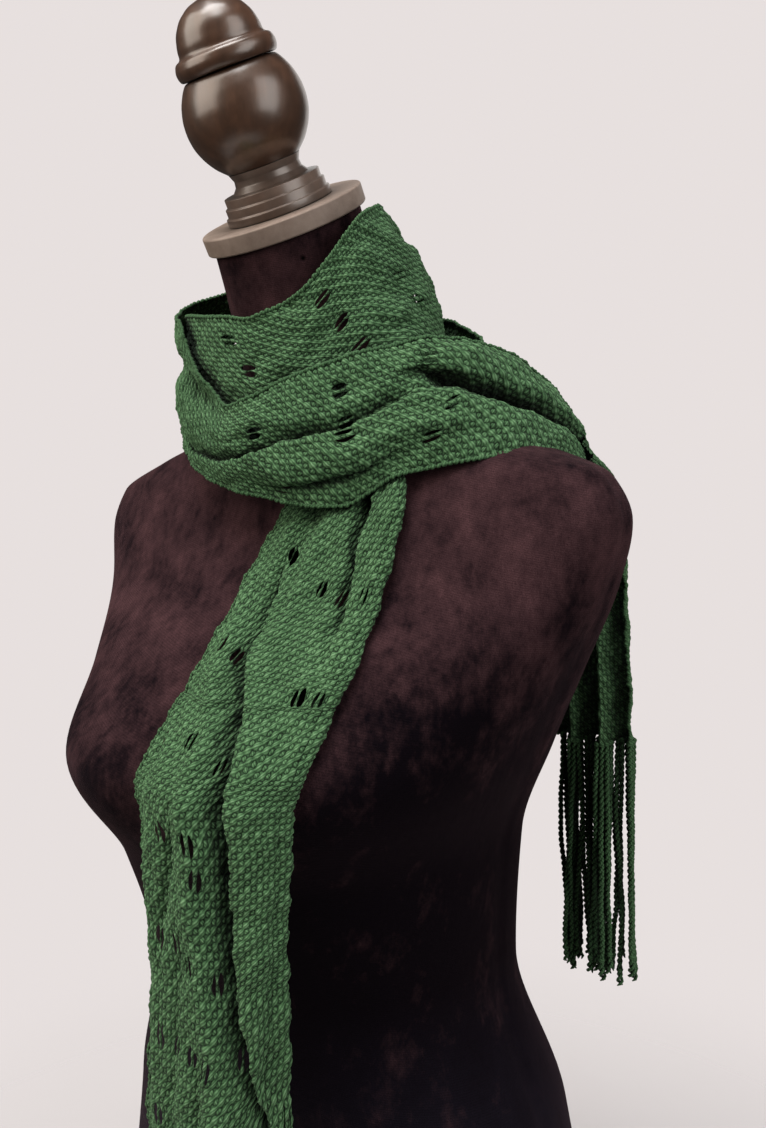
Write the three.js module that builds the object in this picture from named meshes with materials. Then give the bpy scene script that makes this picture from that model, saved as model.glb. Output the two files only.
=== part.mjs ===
// A green lace scarf wound twice round the neck of a limbless, velvet covered tabletop dress form.
// Sizes in mm. +Z is up, the form faces -Y and its own left side is at +X.
// Heights in the tables are measured from the waist of the form, which stands WAIST above the table.
import * as THREE from 'three';

// ---- driving sizes -------------------------------------------------------------------------
const WAIST = 430;            // waist line above the underside of the base
const GAP = 0.3;              // clearance wherever two pieces meet
const CLOTH = 2.4;            // thickness of the woven cloth
const BASE_RADIUS = 150;      // round wooden base
const BASE_HEIGHT = 26;
const COLUMN_RADIUS = 19;
const NECK_LEAN = 30;         // degrees the top of the neck leans forward
const NECK_TOP = { y: -39.5, z: 461.7 };   // middle of the neck disc
const DISC_RADIUS = 51;
const DISC_HALF = 5.5;
const LOOP_CENTRE_Y = -20;    // plan centre of the loops round the neck
const LOOP_FLATNESS = 0.76;   // the front half of each loop lies flatter than a circle
const FRONT_FRINGE = 152;     // reach of the twisted fringe
const BACK_FRINGE = 166;
const BUST = 140;             // height of the fullest line of the bust
const ROUND_OFF = 2.3;        // squareness of the torso sections, 2 is an ellipse

const rad = (deg) => (deg * Math.PI) / 180;
const clamp = (x, a, b) => Math.min(b, Math.max(a, x));
const ease = (x) => { const t = clamp(x, 0, 1); return t * t * (3 - 2 * t); };
const rows = (names, list) => list.map((r) => Object.fromEntries(names.map((n, i) => [n, r[i]])));

// Smooth curve through one column of a table that never overshoots its rows.
function column(table, name, xs = table.map((_, i) => i)) {
  const y = table.map((r) => r[name]);
  const n = y.length;
  const h = [], d = [], m = new Array(n).fill(0);
  for (let i = 0; i < n - 1; i++) { h.push(xs[i + 1] - xs[i]); d.push((y[i + 1] - y[i]) / h[i]); }
  for (let i = 1; i < n - 1; i++) {
    if (d[i - 1] * d[i] > 0) {
      const a = 2 * h[i] + h[i - 1], b = h[i] + 2 * h[i - 1];
      m[i] = (a + b) / (a / d[i - 1] + b / d[i]);
    }
  }
  m[0] = d[0];
  m[n - 1] = d[n - 2];
  return (x) => {
    let i = 0;
    while (i < n - 2 && x > xs[i + 1]) i++;
    const t = clamp((x - xs[i]) / h[i], 0, 1), t2 = t * t, t3 = t2 * t;
    return (2 * t3 - 3 * t2 + 1) * y[i] + (t3 - 2 * t2 + t) * h[i] * m[i]
      + (3 * t2 - 2 * t3) * y[i + 1] + (t3 - t2) * h[i] * m[i + 1];
  };
}
function smooth(table) {
  const out = {};
  for (const name of Object.keys(table[0])) out[name] = column(table, name);
  return (u) => Object.fromEntries(Object.keys(out).map((n) => [n, out[n](u)]));
}

function mesh(name, points, faces, material) {
  const g = new THREE.BufferGeometry();
  g.setAttribute('position', new THREE.Float32BufferAttribute(points.flat(), 3));
  g.setIndex(faces.flat());
  g.computeVertexNormals();
  const m = new THREE.Mesh(g, material);
  m.name = name;
  return m;
}

// ---- the dress form ------------------------------------------------------------------------
const TORSO = rows(['z', 'y', 'lean', 'half', 'front', 'back'], [
  [-262, 0, 0, 150, 108, 112],
  [-250, 0, 0, 159, 115, 120],
  [-200, 0, 0, 161, 121, 128],
  [-100, 0, 0, 152, 113, 110],
  [0, 0, 0, 121, 118, 83],
  [80, 0, 0, 125, 142, 91],
  [140, 0, 0, 147, 175, 102],
  [190, 0, 0, 169, 132, 106],
  [240, 0, 0, 191, 84, 101],
  [276, 0, 0, 200, 66, 84],
  [300, 0, 0, 190, 57, 71],
  [320, 0, 2, 145, 51, 63],
  [334, 0, 4, 102, 49, 57],
  [348, -1, 7, 74, 48, 52],
  [366, -5, 12, 56, 47, 48],
  [400, -15, 20, 48, 46, 46],
  [430, -26, 26, 45, 45, 45],
  [456.6, -36.55, NECK_LEAN, 44, 45, 45],
]);
const torsoHeights = TORSO.map((r) => r.z);
const TORSO_TOP = torsoHeights[torsoHeights.length - 1];
const torso = Object.fromEntries(Object.keys(TORSO[0]).map((n) => [n, column(TORSO, n, torsoHeights)]));

// One point of the torso, `turn` degrees round from its own left side through the back.
function torsoPoint(z, turn) {
  const neck = clamp((z - 334) / 60, 0, 1);
  const power = 2 / (ROUND_OFF * (1 - neck) + 2 * neck);
  const c = Math.cos(rad(turn)), s = Math.sin(rad(turn));
  const x = torso.half(z) * Math.sign(c) * Math.abs(c) ** power;
  let deep = (s > 0 ? torso.back(z) : torso.front(z)) * Math.sign(s) * Math.abs(s) ** power;
  // the soft hollow down the middle of the bust
  if (s < 0) deep += 12 * Math.exp(-(((z - BUST) / 45) ** 2)) * Math.exp(-((x / 26) ** 2));
  const lean = rad(torso.lean(z));
  return [x, torso.y(z) + deep * Math.cos(lean), WAIST + z + deep * Math.sin(lean)];
}
// How far forward the torso comes at one place across its front, plumb below the bust line.
function torsoFront(x, z) {
  const level = Math.max(z, BUST);
  let last = torsoPoint(level, 360);
  for (let turn = 358; turn >= 180; turn -= 2) {
    const p = torsoPoint(level, turn);
    if (p[0] <= x) {
      const t = (last[0] - x) / (last[0] - p[0] || 1);
      return last[1] + (p[1] - last[1]) * t;
    }
    last = p;
  }
  return last[1];
}
function torsoMesh(material) {
  const heights = [];
  for (const [from, to, steps] of [[-262, -238, 3], [-238, 288, 17], [288, 348, 6], [348, TORSO_TOP, 6]]) {
    for (let i = 0; i < steps; i++) heights.push(from + ((to - from) * i) / steps);
  }
  heights.push(TORSO_TOP);
  const around = 40, points = [], faces = [];
  heights.forEach((z) => {
    for (let j = 0; j < around; j++) points.push(torsoPoint(z, (360 * j) / around));
  });
  for (let i = 0; i < heights.length - 1; i++) {
    for (let j = 0; j < around; j++) {
      const a = i * around + j, b = i * around + ((j + 1) % around), c = a + around, d = b + around;
      faces.push([a, b, d], [a, d, c]);
    }
  }
  const top = (heights.length - 1) * around, low = points.length;
  points.push([0, torso.y(-262), WAIST - 262], [0, torso.y(TORSO_TOP), WAIST + TORSO_TOP]);
  for (let j = 0; j < around; j++) {
    const k = (j + 1) % around;
    faces.push([low, k, j], [low + 1, top + j, top + k]);
  }
  return mesh('form_torso', points, faces, material);
}

// Turned wood: a profile of [radius, height] pairs from the lower to the upper end of the axis.
function turned(name, profile, material, { y = 0, z = 0, lean = 0, sides = 28 } = {}) {
  const g = new THREE.LatheGeometry(profile.map(([r, h]) => new THREE.Vector2(r, h)), sides);
  g.rotateX(Math.PI / 2);
  g.rotateX(rad(lean));
  g.translate(0, y, z);
  const m = new THREE.Mesh(g, material);
  m.name = name;
  return m;
}
const neckAxis = { y: NECK_TOP.y, z: WAIST + NECK_TOP.z, lean: NECK_LEAN };
const DISC_PROFILE = [[0, -DISC_HALF], [49.5, -DISC_HALF], [DISC_RADIUS, -4], [DISC_RADIUS, 4],
  [49.5, DISC_HALF], [0, DISC_HALF]];
const STEM_PROFILE = [[0, 5.8], [33, 5.8], [33, 10], [31.5, 10.6], [31.5, 15.4], [30, 16], [30, 21],
  [24, 21.6], [21, 25], [20.5, 28.5], [22.5, 32.7], [0, 32.7]];
const EGG_PROFILE = [[0, 33], [23, 33], [28, 38], [32.5, 44.5], [35.6, 51.5], [36.8, 59], [36.3, 67],
  [33.8, 75], [30, 81.5], [27, 85], [0, 85]];
const CAP_PROFILE = [[0, 85.3], [28.5, 85.3], [29.8, 88], [30, 91], [28.6, 95], [25, 96.4], [24.7, 101],
  [22.6, 108], [18, 114.3], [11, 119], [4, 120.8], [0, 121]];
const BASE_PROFILE = [[0, 0], [BASE_RADIUS - 4, 0], [BASE_RADIUS, 4], [BASE_RADIUS, 14],
  [BASE_RADIUS - 6, 20], [60, BASE_HEIGHT - 2], [40, BASE_HEIGHT], [0, BASE_HEIGHT]];
const COLUMN_PROFILE = [[0, BASE_HEIGHT + GAP], [34, BASE_HEIGHT + GAP], [34, 32], [26, 37], [20, 46],
  [COLUMN_RADIUS, 70], [COLUMN_RADIUS + 5, 96], [COLUMN_RADIUS + 1, 122], [26, 150],
  [40, 160], [40, WAIST - 262 - GAP], [0, WAIST - 262 - GAP]];

// ---- the scarf -----------------------------------------------------------------------------
// A point on a loop: `round` is degrees from the front towards the form's left.
function loopPoint(round, r, z) {
  const c = Math.cos(rad(round));
  const flat = c > 0 ? LOOP_FLATNESS + (1 - LOOP_FLATNESS) * Math.exp(-((c / 0.25) ** 2)) : 1;
  return new THREE.Vector3(r * Math.sin(rad(round)), LOOP_CENTRE_Y - r * flat * c, WAIST + z);
}
// Sections of the stretches that go round the neck, each from its top edge to its foot.
const SECTION = ['topRound', 'topR', 'topZ', 'footRound', 'footR', 'footZ', 'belly'];
const NECK_BAND = rows(SECTION, [
  [-66, 84, 408, -66, 80, 330, 1],
  [-51, 83.5, 407, -51, 78, 324, 1],
  [-35, 83, 404, -35, 76, 318, 2],
  [-20, 82, 400, -20, 75, 314, 2],
  [-5, 82, 397, -5, 74, 312, 2],
  [6, 82, 394, 6, 74, 312, 2],
  [20, 82, 399, 20, 74, 314, 2],
  [30, 82, 406, 30, 76, 320, 2],
  [41, 80, 421, 41, 78, 328, 2],
  [52, 77, 438, 52, 81, 340, 3],
  [61, 73, 452, 61, 84, 350, 4],
  [75, 64, 461, 75, 86, 360, 6],
  [90, 56, 466, 90, 86, 368, 7],
  [108, 50, 469, 108, 86, 375, 8],
  [124, 49, 468, 124, 86, 380, 8],
  [140, 58, 459, 140, 86, 383, 6],
  [152, 63, 456, 152, 85, 385, 4],
]);
const SECOND_TURN = rows(SECTION, [
  [152.6, 63, 456, 152.6, 84.6, 385, 4],
  [180, 68, 454, 180, 84, 388, 4],
  [200, 70, 450, 200, 84, 391, 4],
  [220, 73, 446, 220, 84, 394, 3],
  [240, 77, 440, 240, 85, 392, 3],
  [252, 79, 436, 252, 88, 384, 3],
  [262, 81, 432, 262, 90, 370, 3],
  [272, 84, 427, 272, 91, 358, 3],
  [286, 88.5, 419, 286, 90.5, 347, 3],
  [300, 90.5, 412, 300, 90.5, 340, 3],
  [312, 91.3, 406, 312, 90, 333, 3],
  [324, 91.3, 398, 322, 89, 324, 3],
  [331, 90.5, 380, 330, 89, 315, 3],
  [344, 89, 360, 344, 88, 305, 4],
  [357, 90, 345, 358, 89, 298, 5],
  [366, 91, 347, 368, 90, 295, 6],
  [375, 92, 352, 377, 90, 292, 6],
  [386, 92, 358, 389, 92, 288, 6],
  [401, 93, 365, 403, 97, 287, 6],
  [413, 95, 370, 412, 102, 294, 6],
  [423, 98, 373, 420, 109, 303, 6],
  [433, 104, 376, 428, 117, 306, 6],
  [445, 113, 377, 436, 126, 311, 6],
  [455, 123, 374, 443, 136, 316, 6],
  [465, 136, 367, 451, 147, 320, 5],
  [474, 151, 355, 461, 158, 320, 5],
  [481, 162, 341, 470, 168, 312, 4],
]);
const FIRST_PASS = rows(SECTION, [
  [41, 62, 326.5, 64, 84, 326, 1],
  [60, 75, 338, 82, 101, 338, 1],
  [80, 90, 353, 97, 107, 342, 2],
  [100, 101, 367, 110, 112, 346, 2],
  [120, 109, 383, 122, 111, 350, 2],
  [135, 105, 397, 135, 108, 352, 3],
  [150, 98, 408, 150, 107, 353, 3],
  [165, 94, 413, 165, 105, 353, 3],
  [180, 93, 412, 180, 103, 352, 3],
  [200, 91, 403, 200, 101, 352, 3],
  [220, 90, 390, 220, 98, 354, 2],
  [240, 87, 382, 240, 94, 356, 2],
  [254, 83, 386, 254, 87, 353, 2],
  [270, 80, 396, 270, 83, 350, 2],
  [283, 81.5, 403, 283, 81, 343, 2],
  [293.3, 84, 408, 293.3, 80, 330, 1],
]);
// Long folds: they run from one place round the loop to another, `at` is the share of the way
// from the top edge to the foot, `bow` lifts the middle of the run.
const FOLD = ['from', 'atFrom', 'to', 'atTo', 'depth', 'width', 'bow'];
const BAND_FOLDS = rows(FOLD, [
  [98, 0.2, 150, 0.2, 4, 0.07, 0],
  [-60, 0.45, 20, 0.62, 2.5, 0.12, 0],
  [35, 0.35, 95, 0.5, 2.5, 0.1, 0],
]);
const TURN_FOLDS = rows(FOLD, [
  [285, 0.55, 352, 0.12, 7, 0.12, 0],      // strip that runs up to the right of the throat
  [352, 0.72, 385, 0.53, 7, 0.09, 0],      // long crease across the front
  [385, 0.53, 440, 0.47, 8, 0.1, 0],
  [440, 0.47, 474, 0.45, 8, 0.15, 0],      // hollow under the top roll at the shoulder
  [368, 0.95, 425, 0.86, 4.5, 0.07, -0.1], // small lowest roll
  [392, 0.2, 420, 0.25, 2, 0.1, 0],
]);
const PASS_FOLDS = rows(FOLD, [
  [120, 0.4, 230, 0.6, 4, 0.14, 0],
]);

function loopGrid(table, folds, along, across) {
  const at = smooth(table), grid = [];
  for (let i = 0; i < along; i++) {
    const s = at(((table.length - 1) * i) / (along - 1));
    const top = loopPoint(s.topRound, s.topR, s.topZ);
    const drop = loopPoint(s.footRound, s.footR, s.footZ).sub(top);
    const round = (s.topRound + s.footRound) / 2;
    const travel = new THREE.Vector3(Math.cos(rad(round)), Math.sin(rad(round)), 0);
    const out = drop.clone().normalize().cross(travel).normalize();
    if (out.x * Math.sin(rad(round)) - out.y * Math.cos(rad(round)) < 0) out.negate();
    const row = [];
    for (let j = 0; j < across; j++) {
      const q = j / (across - 1);
      let swell = s.belly * 4 * q * (1 - q);
      for (const f of folds) {
        const t = clamp((round - f.from) / (f.to - f.from), 0, 1);
        const centre = f.atFrom + (f.atTo - f.atFrom) * t + f.bow * 4 * t * (1 - t);
        const fade = ease((round - f.from + 12) / 24) * ease((f.to + 12 - round) / 24);
        swell -= f.depth * fade * Math.exp(-(((q - centre) / f.width) ** 2));
      }
      row.push(top.clone().addScaledVector(drop, q).addScaledVector(out, swell));
    }
    grid.push(row);
  }
  return grid;
}

// The front tail hangs from under the wraps, over the bust and then plumb to its hem.
// `gutter` is the share of its width where the deep fold lies, `deep` its depth.
const FRONT_TAIL = rows(['z', 'left', 'right', 'roll', 'gutter', 'deep'], [
  [320, 42, 76, 1.9, 0.5, 0],
  [308, 34, 87, 2, 0.5, 0],
  [298, 28, 95, 2.2, 0.5, 0],
  [287, 21, 97, 2.6, 0.5, 0],
  [274, 16, 95, 3.2, 0.5, 0],
  [260, 11, 95, 3.4, 0.5, 0],
  [245, 7, 94, 3.4, 0.5, 0],
  [220, 5, 95, 3.4, 0.5, 0],
  [204, 5, 96, 3.4, 0.55, 5],
  [186, 4, 96, 3.4, 0.61, 8],
  [164, 3, 97, 3.4, 0.66, 9],
  [150, 1, 95, 3.4, 0.7, 9],
  [140, 2, 93, 3.4, 0.72, 9],
  [125, 6, 92, 3.4, 0.74, 9],
  [90, 8, 90, 3.4, 0.75, 9],
  [65, 10, 89, 3.4, 0.75, 9],
  [35, 8, 89, 3.4, 0.77, 9],
  [10, 5, 89, 3.4, 0.83, 8],
  [-16, 2, 90, 3.4, 0.89, 6],
  [-44, 1, 90, 3.4, 0.92, 4],
  [-80, 2, 89, 3.4, 0.93, 3],
  [-112, 3, 88, 3.4, 0.93, 3],
]);
const TAIL_FOLDS = rows(['from', 'to', 'atFrom', 'atTo', 'depth', 'widthLeft', 'widthRight'], [
  [315, 215, 0.74, 0.87, 5, 0.05, 0.04],
  [300, -100, 0.34, 0.33, 3.2, 0.07, 0.07],
  [280, -60, 0.12, 0.14, 1.5, 0.05, 0.05],
  [290, 60, 0.52, 0.52, -2, 0.07, 0.07],
  [120, -100, 0.22, 0.24, -1.2, 0.05, 0.05],
]);
const UNDER = 12;             // cloth turned under along the tail's outer edge
const STAND_OFF = 3.8;          // inside of the cloth to the velvet
function frontTailGrid(along, across) {
  const at = smooth(FRONT_TAIL), grid = [];
  for (let i = 0; i < along; i++) {
    const s = at(((FRONT_TAIL.length - 1) * i) / (along - 1));
    const width = s.right - s.left, face = STAND_OFF + 2 * s.roll, row = [];
    for (let j = 0; j < across; j++) {
      const run = (j / (across - 1)) * (width + Math.PI * s.roll + UNDER);
      let x, off;
      if (run <= width) {
        const q = run / width;
        x = s.left + run;
        off = face - s.deep * Math.exp(-(((q - s.gutter) / (q < s.gutter ? 0.13 : 0.04)) ** 2));
        for (const f of TAIL_FOLDS) {
          const t = clamp((f.from - s.z) / (f.from - f.to), 0, 1);
          const e = q - (f.atFrom + (f.atTo - f.atFrom) * t);
          const fade = ease((f.from + 20 - s.z) / 40) * ease((s.z - f.to + 20) / 40);
          off -= f.depth * fade * Math.exp(-((e / (e < 0 ? f.widthLeft : f.widthRight)) ** 2));
        }
        off = Math.max(off, 2.6);
        off = 2.6 + (off - 2.6) * (0.45 + 0.55 * clamp(q / 0.12, 0, 1));
      } else {
        const turn = Math.min((run - width) / s.roll, Math.PI);
        x = s.right + s.roll * Math.sin(turn) - Math.max(0, run - width - Math.PI * s.roll);
        off = STAND_OFF + s.roll * (1 + Math.cos(turn));
      }
      row.push(new THREE.Vector3(x, torsoFront(x, s.z) - off, WAIST + s.z));
    }
    grid.push(row);
  }
  return grid;
}

// The back tail comes over the left shoulder gathered into deep pleats and hangs behind it.
const BACK_TAIL = rows(['outerX', 'outerY', 'outerZ', 'innerX', 'innerY', 'innerZ', 'pleat'], [
  [163, 41.5, 310.5, 141, 63.5, 339, 2.5],
  [166, 62, 297, 131, 84, 322, 5],
  [164, 82, 277, 120, 101, 298, 7],
  [160.5, 97, 252, 110, 112, 266, 9],
  [159.5, 104, 225, 105, 118, 234, 11],
  [160, 107, 190, 104, 121, 194, 12],
  [161, 108, 150, 104, 122, 150, 12],
  [161, 108, 122, 104, 122, 118, 12],
]);
const PLEATS = 2.5;
function backTailGrid(along, across) {
  const at = smooth(BACK_TAIL), grid = [];
  for (let i = 0; i < along; i++) {
    const s = at(((BACK_TAIL.length - 1) * i) / (along - 1));
    const outer = new THREE.Vector3(s.outerX, s.outerY, WAIST + s.outerZ);
    const chord = new THREE.Vector3(s.innerX, s.innerY, WAIST + s.innerZ).sub(outer);
    const out = chord.clone().normalize().cross(new THREE.Vector3(0, 0.15, -1)).normalize();
    if (out.y < 0) out.negate();
    const row = [];
    for (let j = 0; j < across; j++) {
      const q = j / (across - 1);
      row.push(outer.clone().addScaledVector(chord, q)
        .addScaledVector(out, s.pleat * Math.sin(2 * Math.PI * PLEATS * q)));
    }
    grid.push(row);
  }
  return grid;
}

// A closed wall of even thickness on the middle surface given by a grid of points.
function wall(name, grid, material, thickness = CLOTH) {
  const n = grid.length, m = grid[0].length, face = [], back = [];
  for (let i = 0; i < n; i++) {
    for (let j = 0; j < m; j++) {
      const a = grid[Math.min(n - 1, i + 1)][j].clone().sub(grid[Math.max(0, i - 1)][j]);
      const b = grid[i][Math.min(m - 1, j + 1)].clone().sub(grid[i][Math.max(0, j - 1)]);
      const normal = a.cross(b).normalize().multiplyScalar(thickness / 2);
      face.push(grid[i][j].clone().add(normal).toArray());
      back.push(grid[i][j].clone().sub(normal).toArray());
    }
  }
  const o = n * m, faces = [];
  for (let i = 0; i < n - 1; i++) {
    for (let j = 0; j < m - 1; j++) {
      const a = i * m + j, b = a + 1, c = a + m, d = c + 1;
      faces.push([a, c, d], [a, d, b], [o + a, o + d, o + c], [o + a, o + b, o + d]);
    }
    const p = i * m, q = p + m, r = p + m - 1, s = r + m;
    faces.push([p, o + p, o + q], [p, o + q, q], [r, o + s, o + r], [r, s, o + s]);
  }
  for (let j = 0; j < m - 1; j++) {
    const p = j, q = j + 1, r = (n - 1) * m + j, s = r + 1;
    faces.push([p, o + q, o + p], [p, q, o + q], [r, o + r, o + s], [r, o + s, s]);
  }
  return mesh(name, face.concat(back), faces, material);
}
// The reach of the fringe, a plain wall below a hem.
function fringeGrid(hem, reach) {
  return [1.6 * GAP, reach / 2, reach].map((d) => hem.map((p) => p.clone().setZ(p.z - d)));
}

// ---- materials and parts -------------------------------------------------------------------
const cloth = () => new THREE.MeshStandardMaterial({ color: 0x1f5232, roughness: 0.95 });
const velvet = () => new THREE.MeshStandardMaterial({ color: 0x231a1e, roughness: 1 });
const wood = () => new THREE.MeshStandardMaterial({ color: 0x2e2622, roughness: 0.4 });

const frontTail = frontTailGrid(34, 20);
const backTail = backTailGrid(11, 21);

const group = new THREE.Group();
group.name = 'lace_scarf_on_dress_form';
group.add(
  turned('base', BASE_PROFILE, wood(), { sides: 40 }),
  turned('column', COLUMN_PROFILE, wood()),
  torsoMesh(velvet()),
  turned('neck_disc', DISC_PROFILE, wood(), { ...neckAxis, sides: 40 }),
  turned('finial_stem', STEM_PROFILE, wood(), neckAxis),
  turned('finial_egg', EGG_PROFILE, wood(), neckAxis),
  turned('finial_cap', CAP_PROFILE, wood(), neckAxis),
  wall('scarf_front_tail', frontTail, cloth()),
  wall('scarf_first_pass', loopGrid(FIRST_PASS, PASS_FOLDS, 26, 6), cloth()),
  wall('scarf_neck_band', loopGrid(NECK_BAND, BAND_FOLDS, 26, 9), cloth()),
  wall('scarf_second_turn', loopGrid(SECOND_TURN, TURN_FOLDS, 56, 14), cloth()),
  wall('scarf_back_tail', backTail, cloth()),
  wall('fringe_front', fringeGrid(frontTail[frontTail.length - 1], FRONT_FRINGE), cloth(), 3),
  wall('fringe_back', fringeGrid(backTail[backTail.length - 1], BACK_FRINGE), cloth(), 3),
);
export default group;
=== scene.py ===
"""A green lace scarf, wound twice round the neck of a velvet dress form with a turned finial.

Sizes in the tables are millimetres and degrees; the form faces -Y and its own left side is at +X.
Heights are measured from the waist of the form. Blender's objects are in metres.
"""
import math

import bpy
import numpy as np
from mathutils import Matrix
from bpy.props import FloatProperty, FloatVectorProperty, IntProperty, PointerProperty
from bpy.types import Operator, Panel, PropertyGroup


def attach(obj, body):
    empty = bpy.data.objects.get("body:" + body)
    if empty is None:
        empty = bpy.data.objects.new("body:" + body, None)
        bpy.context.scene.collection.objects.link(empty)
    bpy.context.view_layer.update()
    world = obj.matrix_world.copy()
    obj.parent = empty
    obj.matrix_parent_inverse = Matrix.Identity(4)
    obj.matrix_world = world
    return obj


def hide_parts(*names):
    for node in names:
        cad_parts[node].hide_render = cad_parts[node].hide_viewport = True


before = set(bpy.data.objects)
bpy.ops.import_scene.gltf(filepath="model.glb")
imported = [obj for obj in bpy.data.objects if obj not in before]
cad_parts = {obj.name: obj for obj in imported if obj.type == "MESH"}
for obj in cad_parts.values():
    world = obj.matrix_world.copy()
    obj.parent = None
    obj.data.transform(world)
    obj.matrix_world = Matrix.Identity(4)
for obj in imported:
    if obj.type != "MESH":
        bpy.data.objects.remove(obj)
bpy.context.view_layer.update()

bl_info = {
    "name": "Lace scarf on a dress form",
    "version": (1, 0, 0),
    "blender": (4, 5, 0),
    "location": "3D View > Sidebar > Scarf",
    "description": "Builds a wound, fringed lace scarf and the dress form that it rests on",
    "category": "Add Mesh",
}

MM = 0.001

# ---- driving sizes, mm ---------------------------------------------------------------------
WAIST = 430
NECK_LEAN = 30
NECK_TOP = (-39.5, 461.7)
DISC_HALF = 5.5
LOOP_CENTRE_Y = -20
LOOP_FLATNESS = 0.76
TORSO_FOOT, TORSO_TOP = -262, 456.4
BUST = 140
BUST_HOLLOW = 12
ROUND_OFF = 2.3
NECK_FOOT = 334
NECK_NAP = 2.5
BASE_RADIUS = 150
BASE_HEIGHT = 26
STAND_OFF = 3.8
UNDER = 12
PLEATS = 2.5


# ---- tables --------------------------------------------------------------------------------
def table(names, rows):
    return dict(zip(names.split(), np.array(rows, float).T))


TORSO = table("z y lean half front back", [
    (-262, 0, 0, 150, 108, 112), (-250, 0, 0, 159, 115, 120), (-200, 0, 0, 161, 121, 128),
    (-100, 0, 0, 152, 113, 110), (0, 0, 0, 121, 118, 83), (80, 0, 0, 125, 142, 91),
    (140, 0, 0, 147, 175, 102), (190, 0, 0, 169, 132, 106), (240, 0, 0, 191, 84, 101),
    (276, 0, 0, 200, 66, 84), (300, 0, 0, 190, 57, 71), (320, 0, 2, 145, 51, 63),
    (334, 0, 4, 102, 49, 57), (348, -1, 7, 74, 48, 52), (366, -5, 12, 56, 47, 48),
    (400, -15, 20, 48, 46, 46), (430, -26, 26, 45, 45, 45), (456.6, -36.55, 30, 44, 45, 45),
])
SECTION = "top_round top_r top_z foot_round foot_r foot_z belly"
NECK_BAND = table(SECTION, [
    (-66, 84, 408, -66, 80, 330, 1), (-51, 83.5, 407, -51, 78, 324, 1),
    (-35, 83, 404, -35, 76, 318, 2), (-20, 82, 400, -20, 75, 314, 2),
    (-5, 82, 397, -5, 74, 312, 2), (6, 82, 394, 6, 74, 312, 2), (20, 82, 399, 20, 74, 314, 2),
    (30, 82, 406, 30, 76, 320, 2), (41, 80, 421, 41, 78, 328, 2), (52, 77, 438, 52, 81, 340, 3),
    (61, 72, 449, 61, 84, 350, 4), (75, 63, 456, 75, 86, 360, 6), (90, 56, 460, 90, 86, 368, 8),
    (108, 52, 463, 108, 86, 375, 9), (124, 52, 463, 124, 86, 380, 9),
    (140, 59, 459, 140, 86, 383, 7), (152, 63, 456, 152, 85, 385, 4),
])
SECOND_TURN = table(SECTION, [
    (152.6, 63, 456, 152.6, 84.6, 385, 4), (180, 68, 454, 180, 84, 388, 4),
    (200, 70, 450, 200, 84, 391, 4), (220, 73, 446, 220, 84, 394, 3),
    (240, 77, 440, 240, 85, 392, 3), (252, 79, 436, 252, 88, 384, 3),
    (262, 81, 432, 262, 90, 370, 3), (272, 84, 427, 272, 91, 358, 3),
    (286, 88.5, 419, 286, 90.5, 347, 3), (300, 90.5, 412, 300, 90.5, 340, 3),
    (312, 91.3, 406, 312, 90, 333, 3), (324, 91.3, 398, 322, 89, 324, 3),
    (331, 90.5, 380, 330, 89, 315, 3), (344, 89, 360, 344, 88, 305, 4),
    (357, 90, 345, 358, 89, 298, 5), (366, 91, 347, 368, 90, 295, 6),
    (375, 92, 352, 377, 90, 292, 6), (386, 92, 358, 389, 92, 288, 6),
    (401, 93, 365, 403, 97, 287, 6), (413, 95, 370, 412, 102, 294, 6),
    (423, 98, 373, 420, 109, 303, 6), (433, 104, 376, 428, 117, 306, 6),
    (445, 113, 377, 436, 126, 309, 6), (455, 123, 374, 443, 136, 311, 6),
    (465, 136, 367, 451, 147, 314, 5), (474, 151, 355, 461, 158, 313, 5),
    (481, 164, 339, 470, 170, 304, 4),
])
FIRST_PASS = table(SECTION, [
    (41, 62, 326.5, 64, 84, 326, 1), (60, 75, 338, 82, 101, 338, 1),
    (80, 90, 353, 97, 107, 342, 2), (100, 101, 367, 110, 112, 346, 2),
    (120, 109, 383, 122, 111, 350, 2), (135, 105, 397, 135, 108, 352, 3),
    (150, 98, 408, 150, 107, 353, 3), (165, 94, 413, 165, 105, 353, 3),
    (180, 93, 412, 180, 103, 352, 3), (200, 91, 403, 200, 101, 352, 3),
    (220, 90, 390, 220, 98, 354, 2), (240, 87, 382, 240, 94, 356, 2),
    (254, 83, 386, 254, 87, 353, 2), (270, 80, 396, 270, 83, 350, 2),
    (283, 81.5, 403, 283, 81, 343, 2), (293.3, 84, 408, 293.3, 80, 330, 1),
])
# Long folds of the loops. `at` is the share of the way from the top edge to the foot, `bow`
# moves the middle of the run, and `lap` is how much the cloth above the fold hangs over it, or
# where it is negative how much the cloth below stands proud of it.
# The last rows of each are the small soft creases.
FOLD = "start at_start end at_end depth width bow lap"
BAND_FOLDS = table(FOLD, [
    (98, 0.2, 150, 0.2, 4, 0.07, 0, 0), (-60, 0.45, 20, 0.62, 2.5, 0.12, 0, 0),
    (35, 0.35, 95, 0.5, 2.5, 0.1, 0, 0),
    (-40, 0.75, 30, 0.3, -0.8, 0.08, 0, 0), (50, 0.75, 110, 0.62, 1.6, 0.05, 0.05, 0),
    (66, 0.1, 118, 0.3, -1.4, 0.06, 0.04, 0), (40, 0.08, 70, 0.16, 1.2, 0.05, 0, 0),
    (75, 0.35, 100, 0.8, 1.2, 0.05, 0, 0), (18, 0.02, 34, 0.03, 1.4, 0.06, 0, 0),
    (84, 0.03, 104, 0.05, -1.6, 0.07, 0, 0), (60, 0.5, 84, 0.56, 1.5, 0.08, 0, 0),
])
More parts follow.
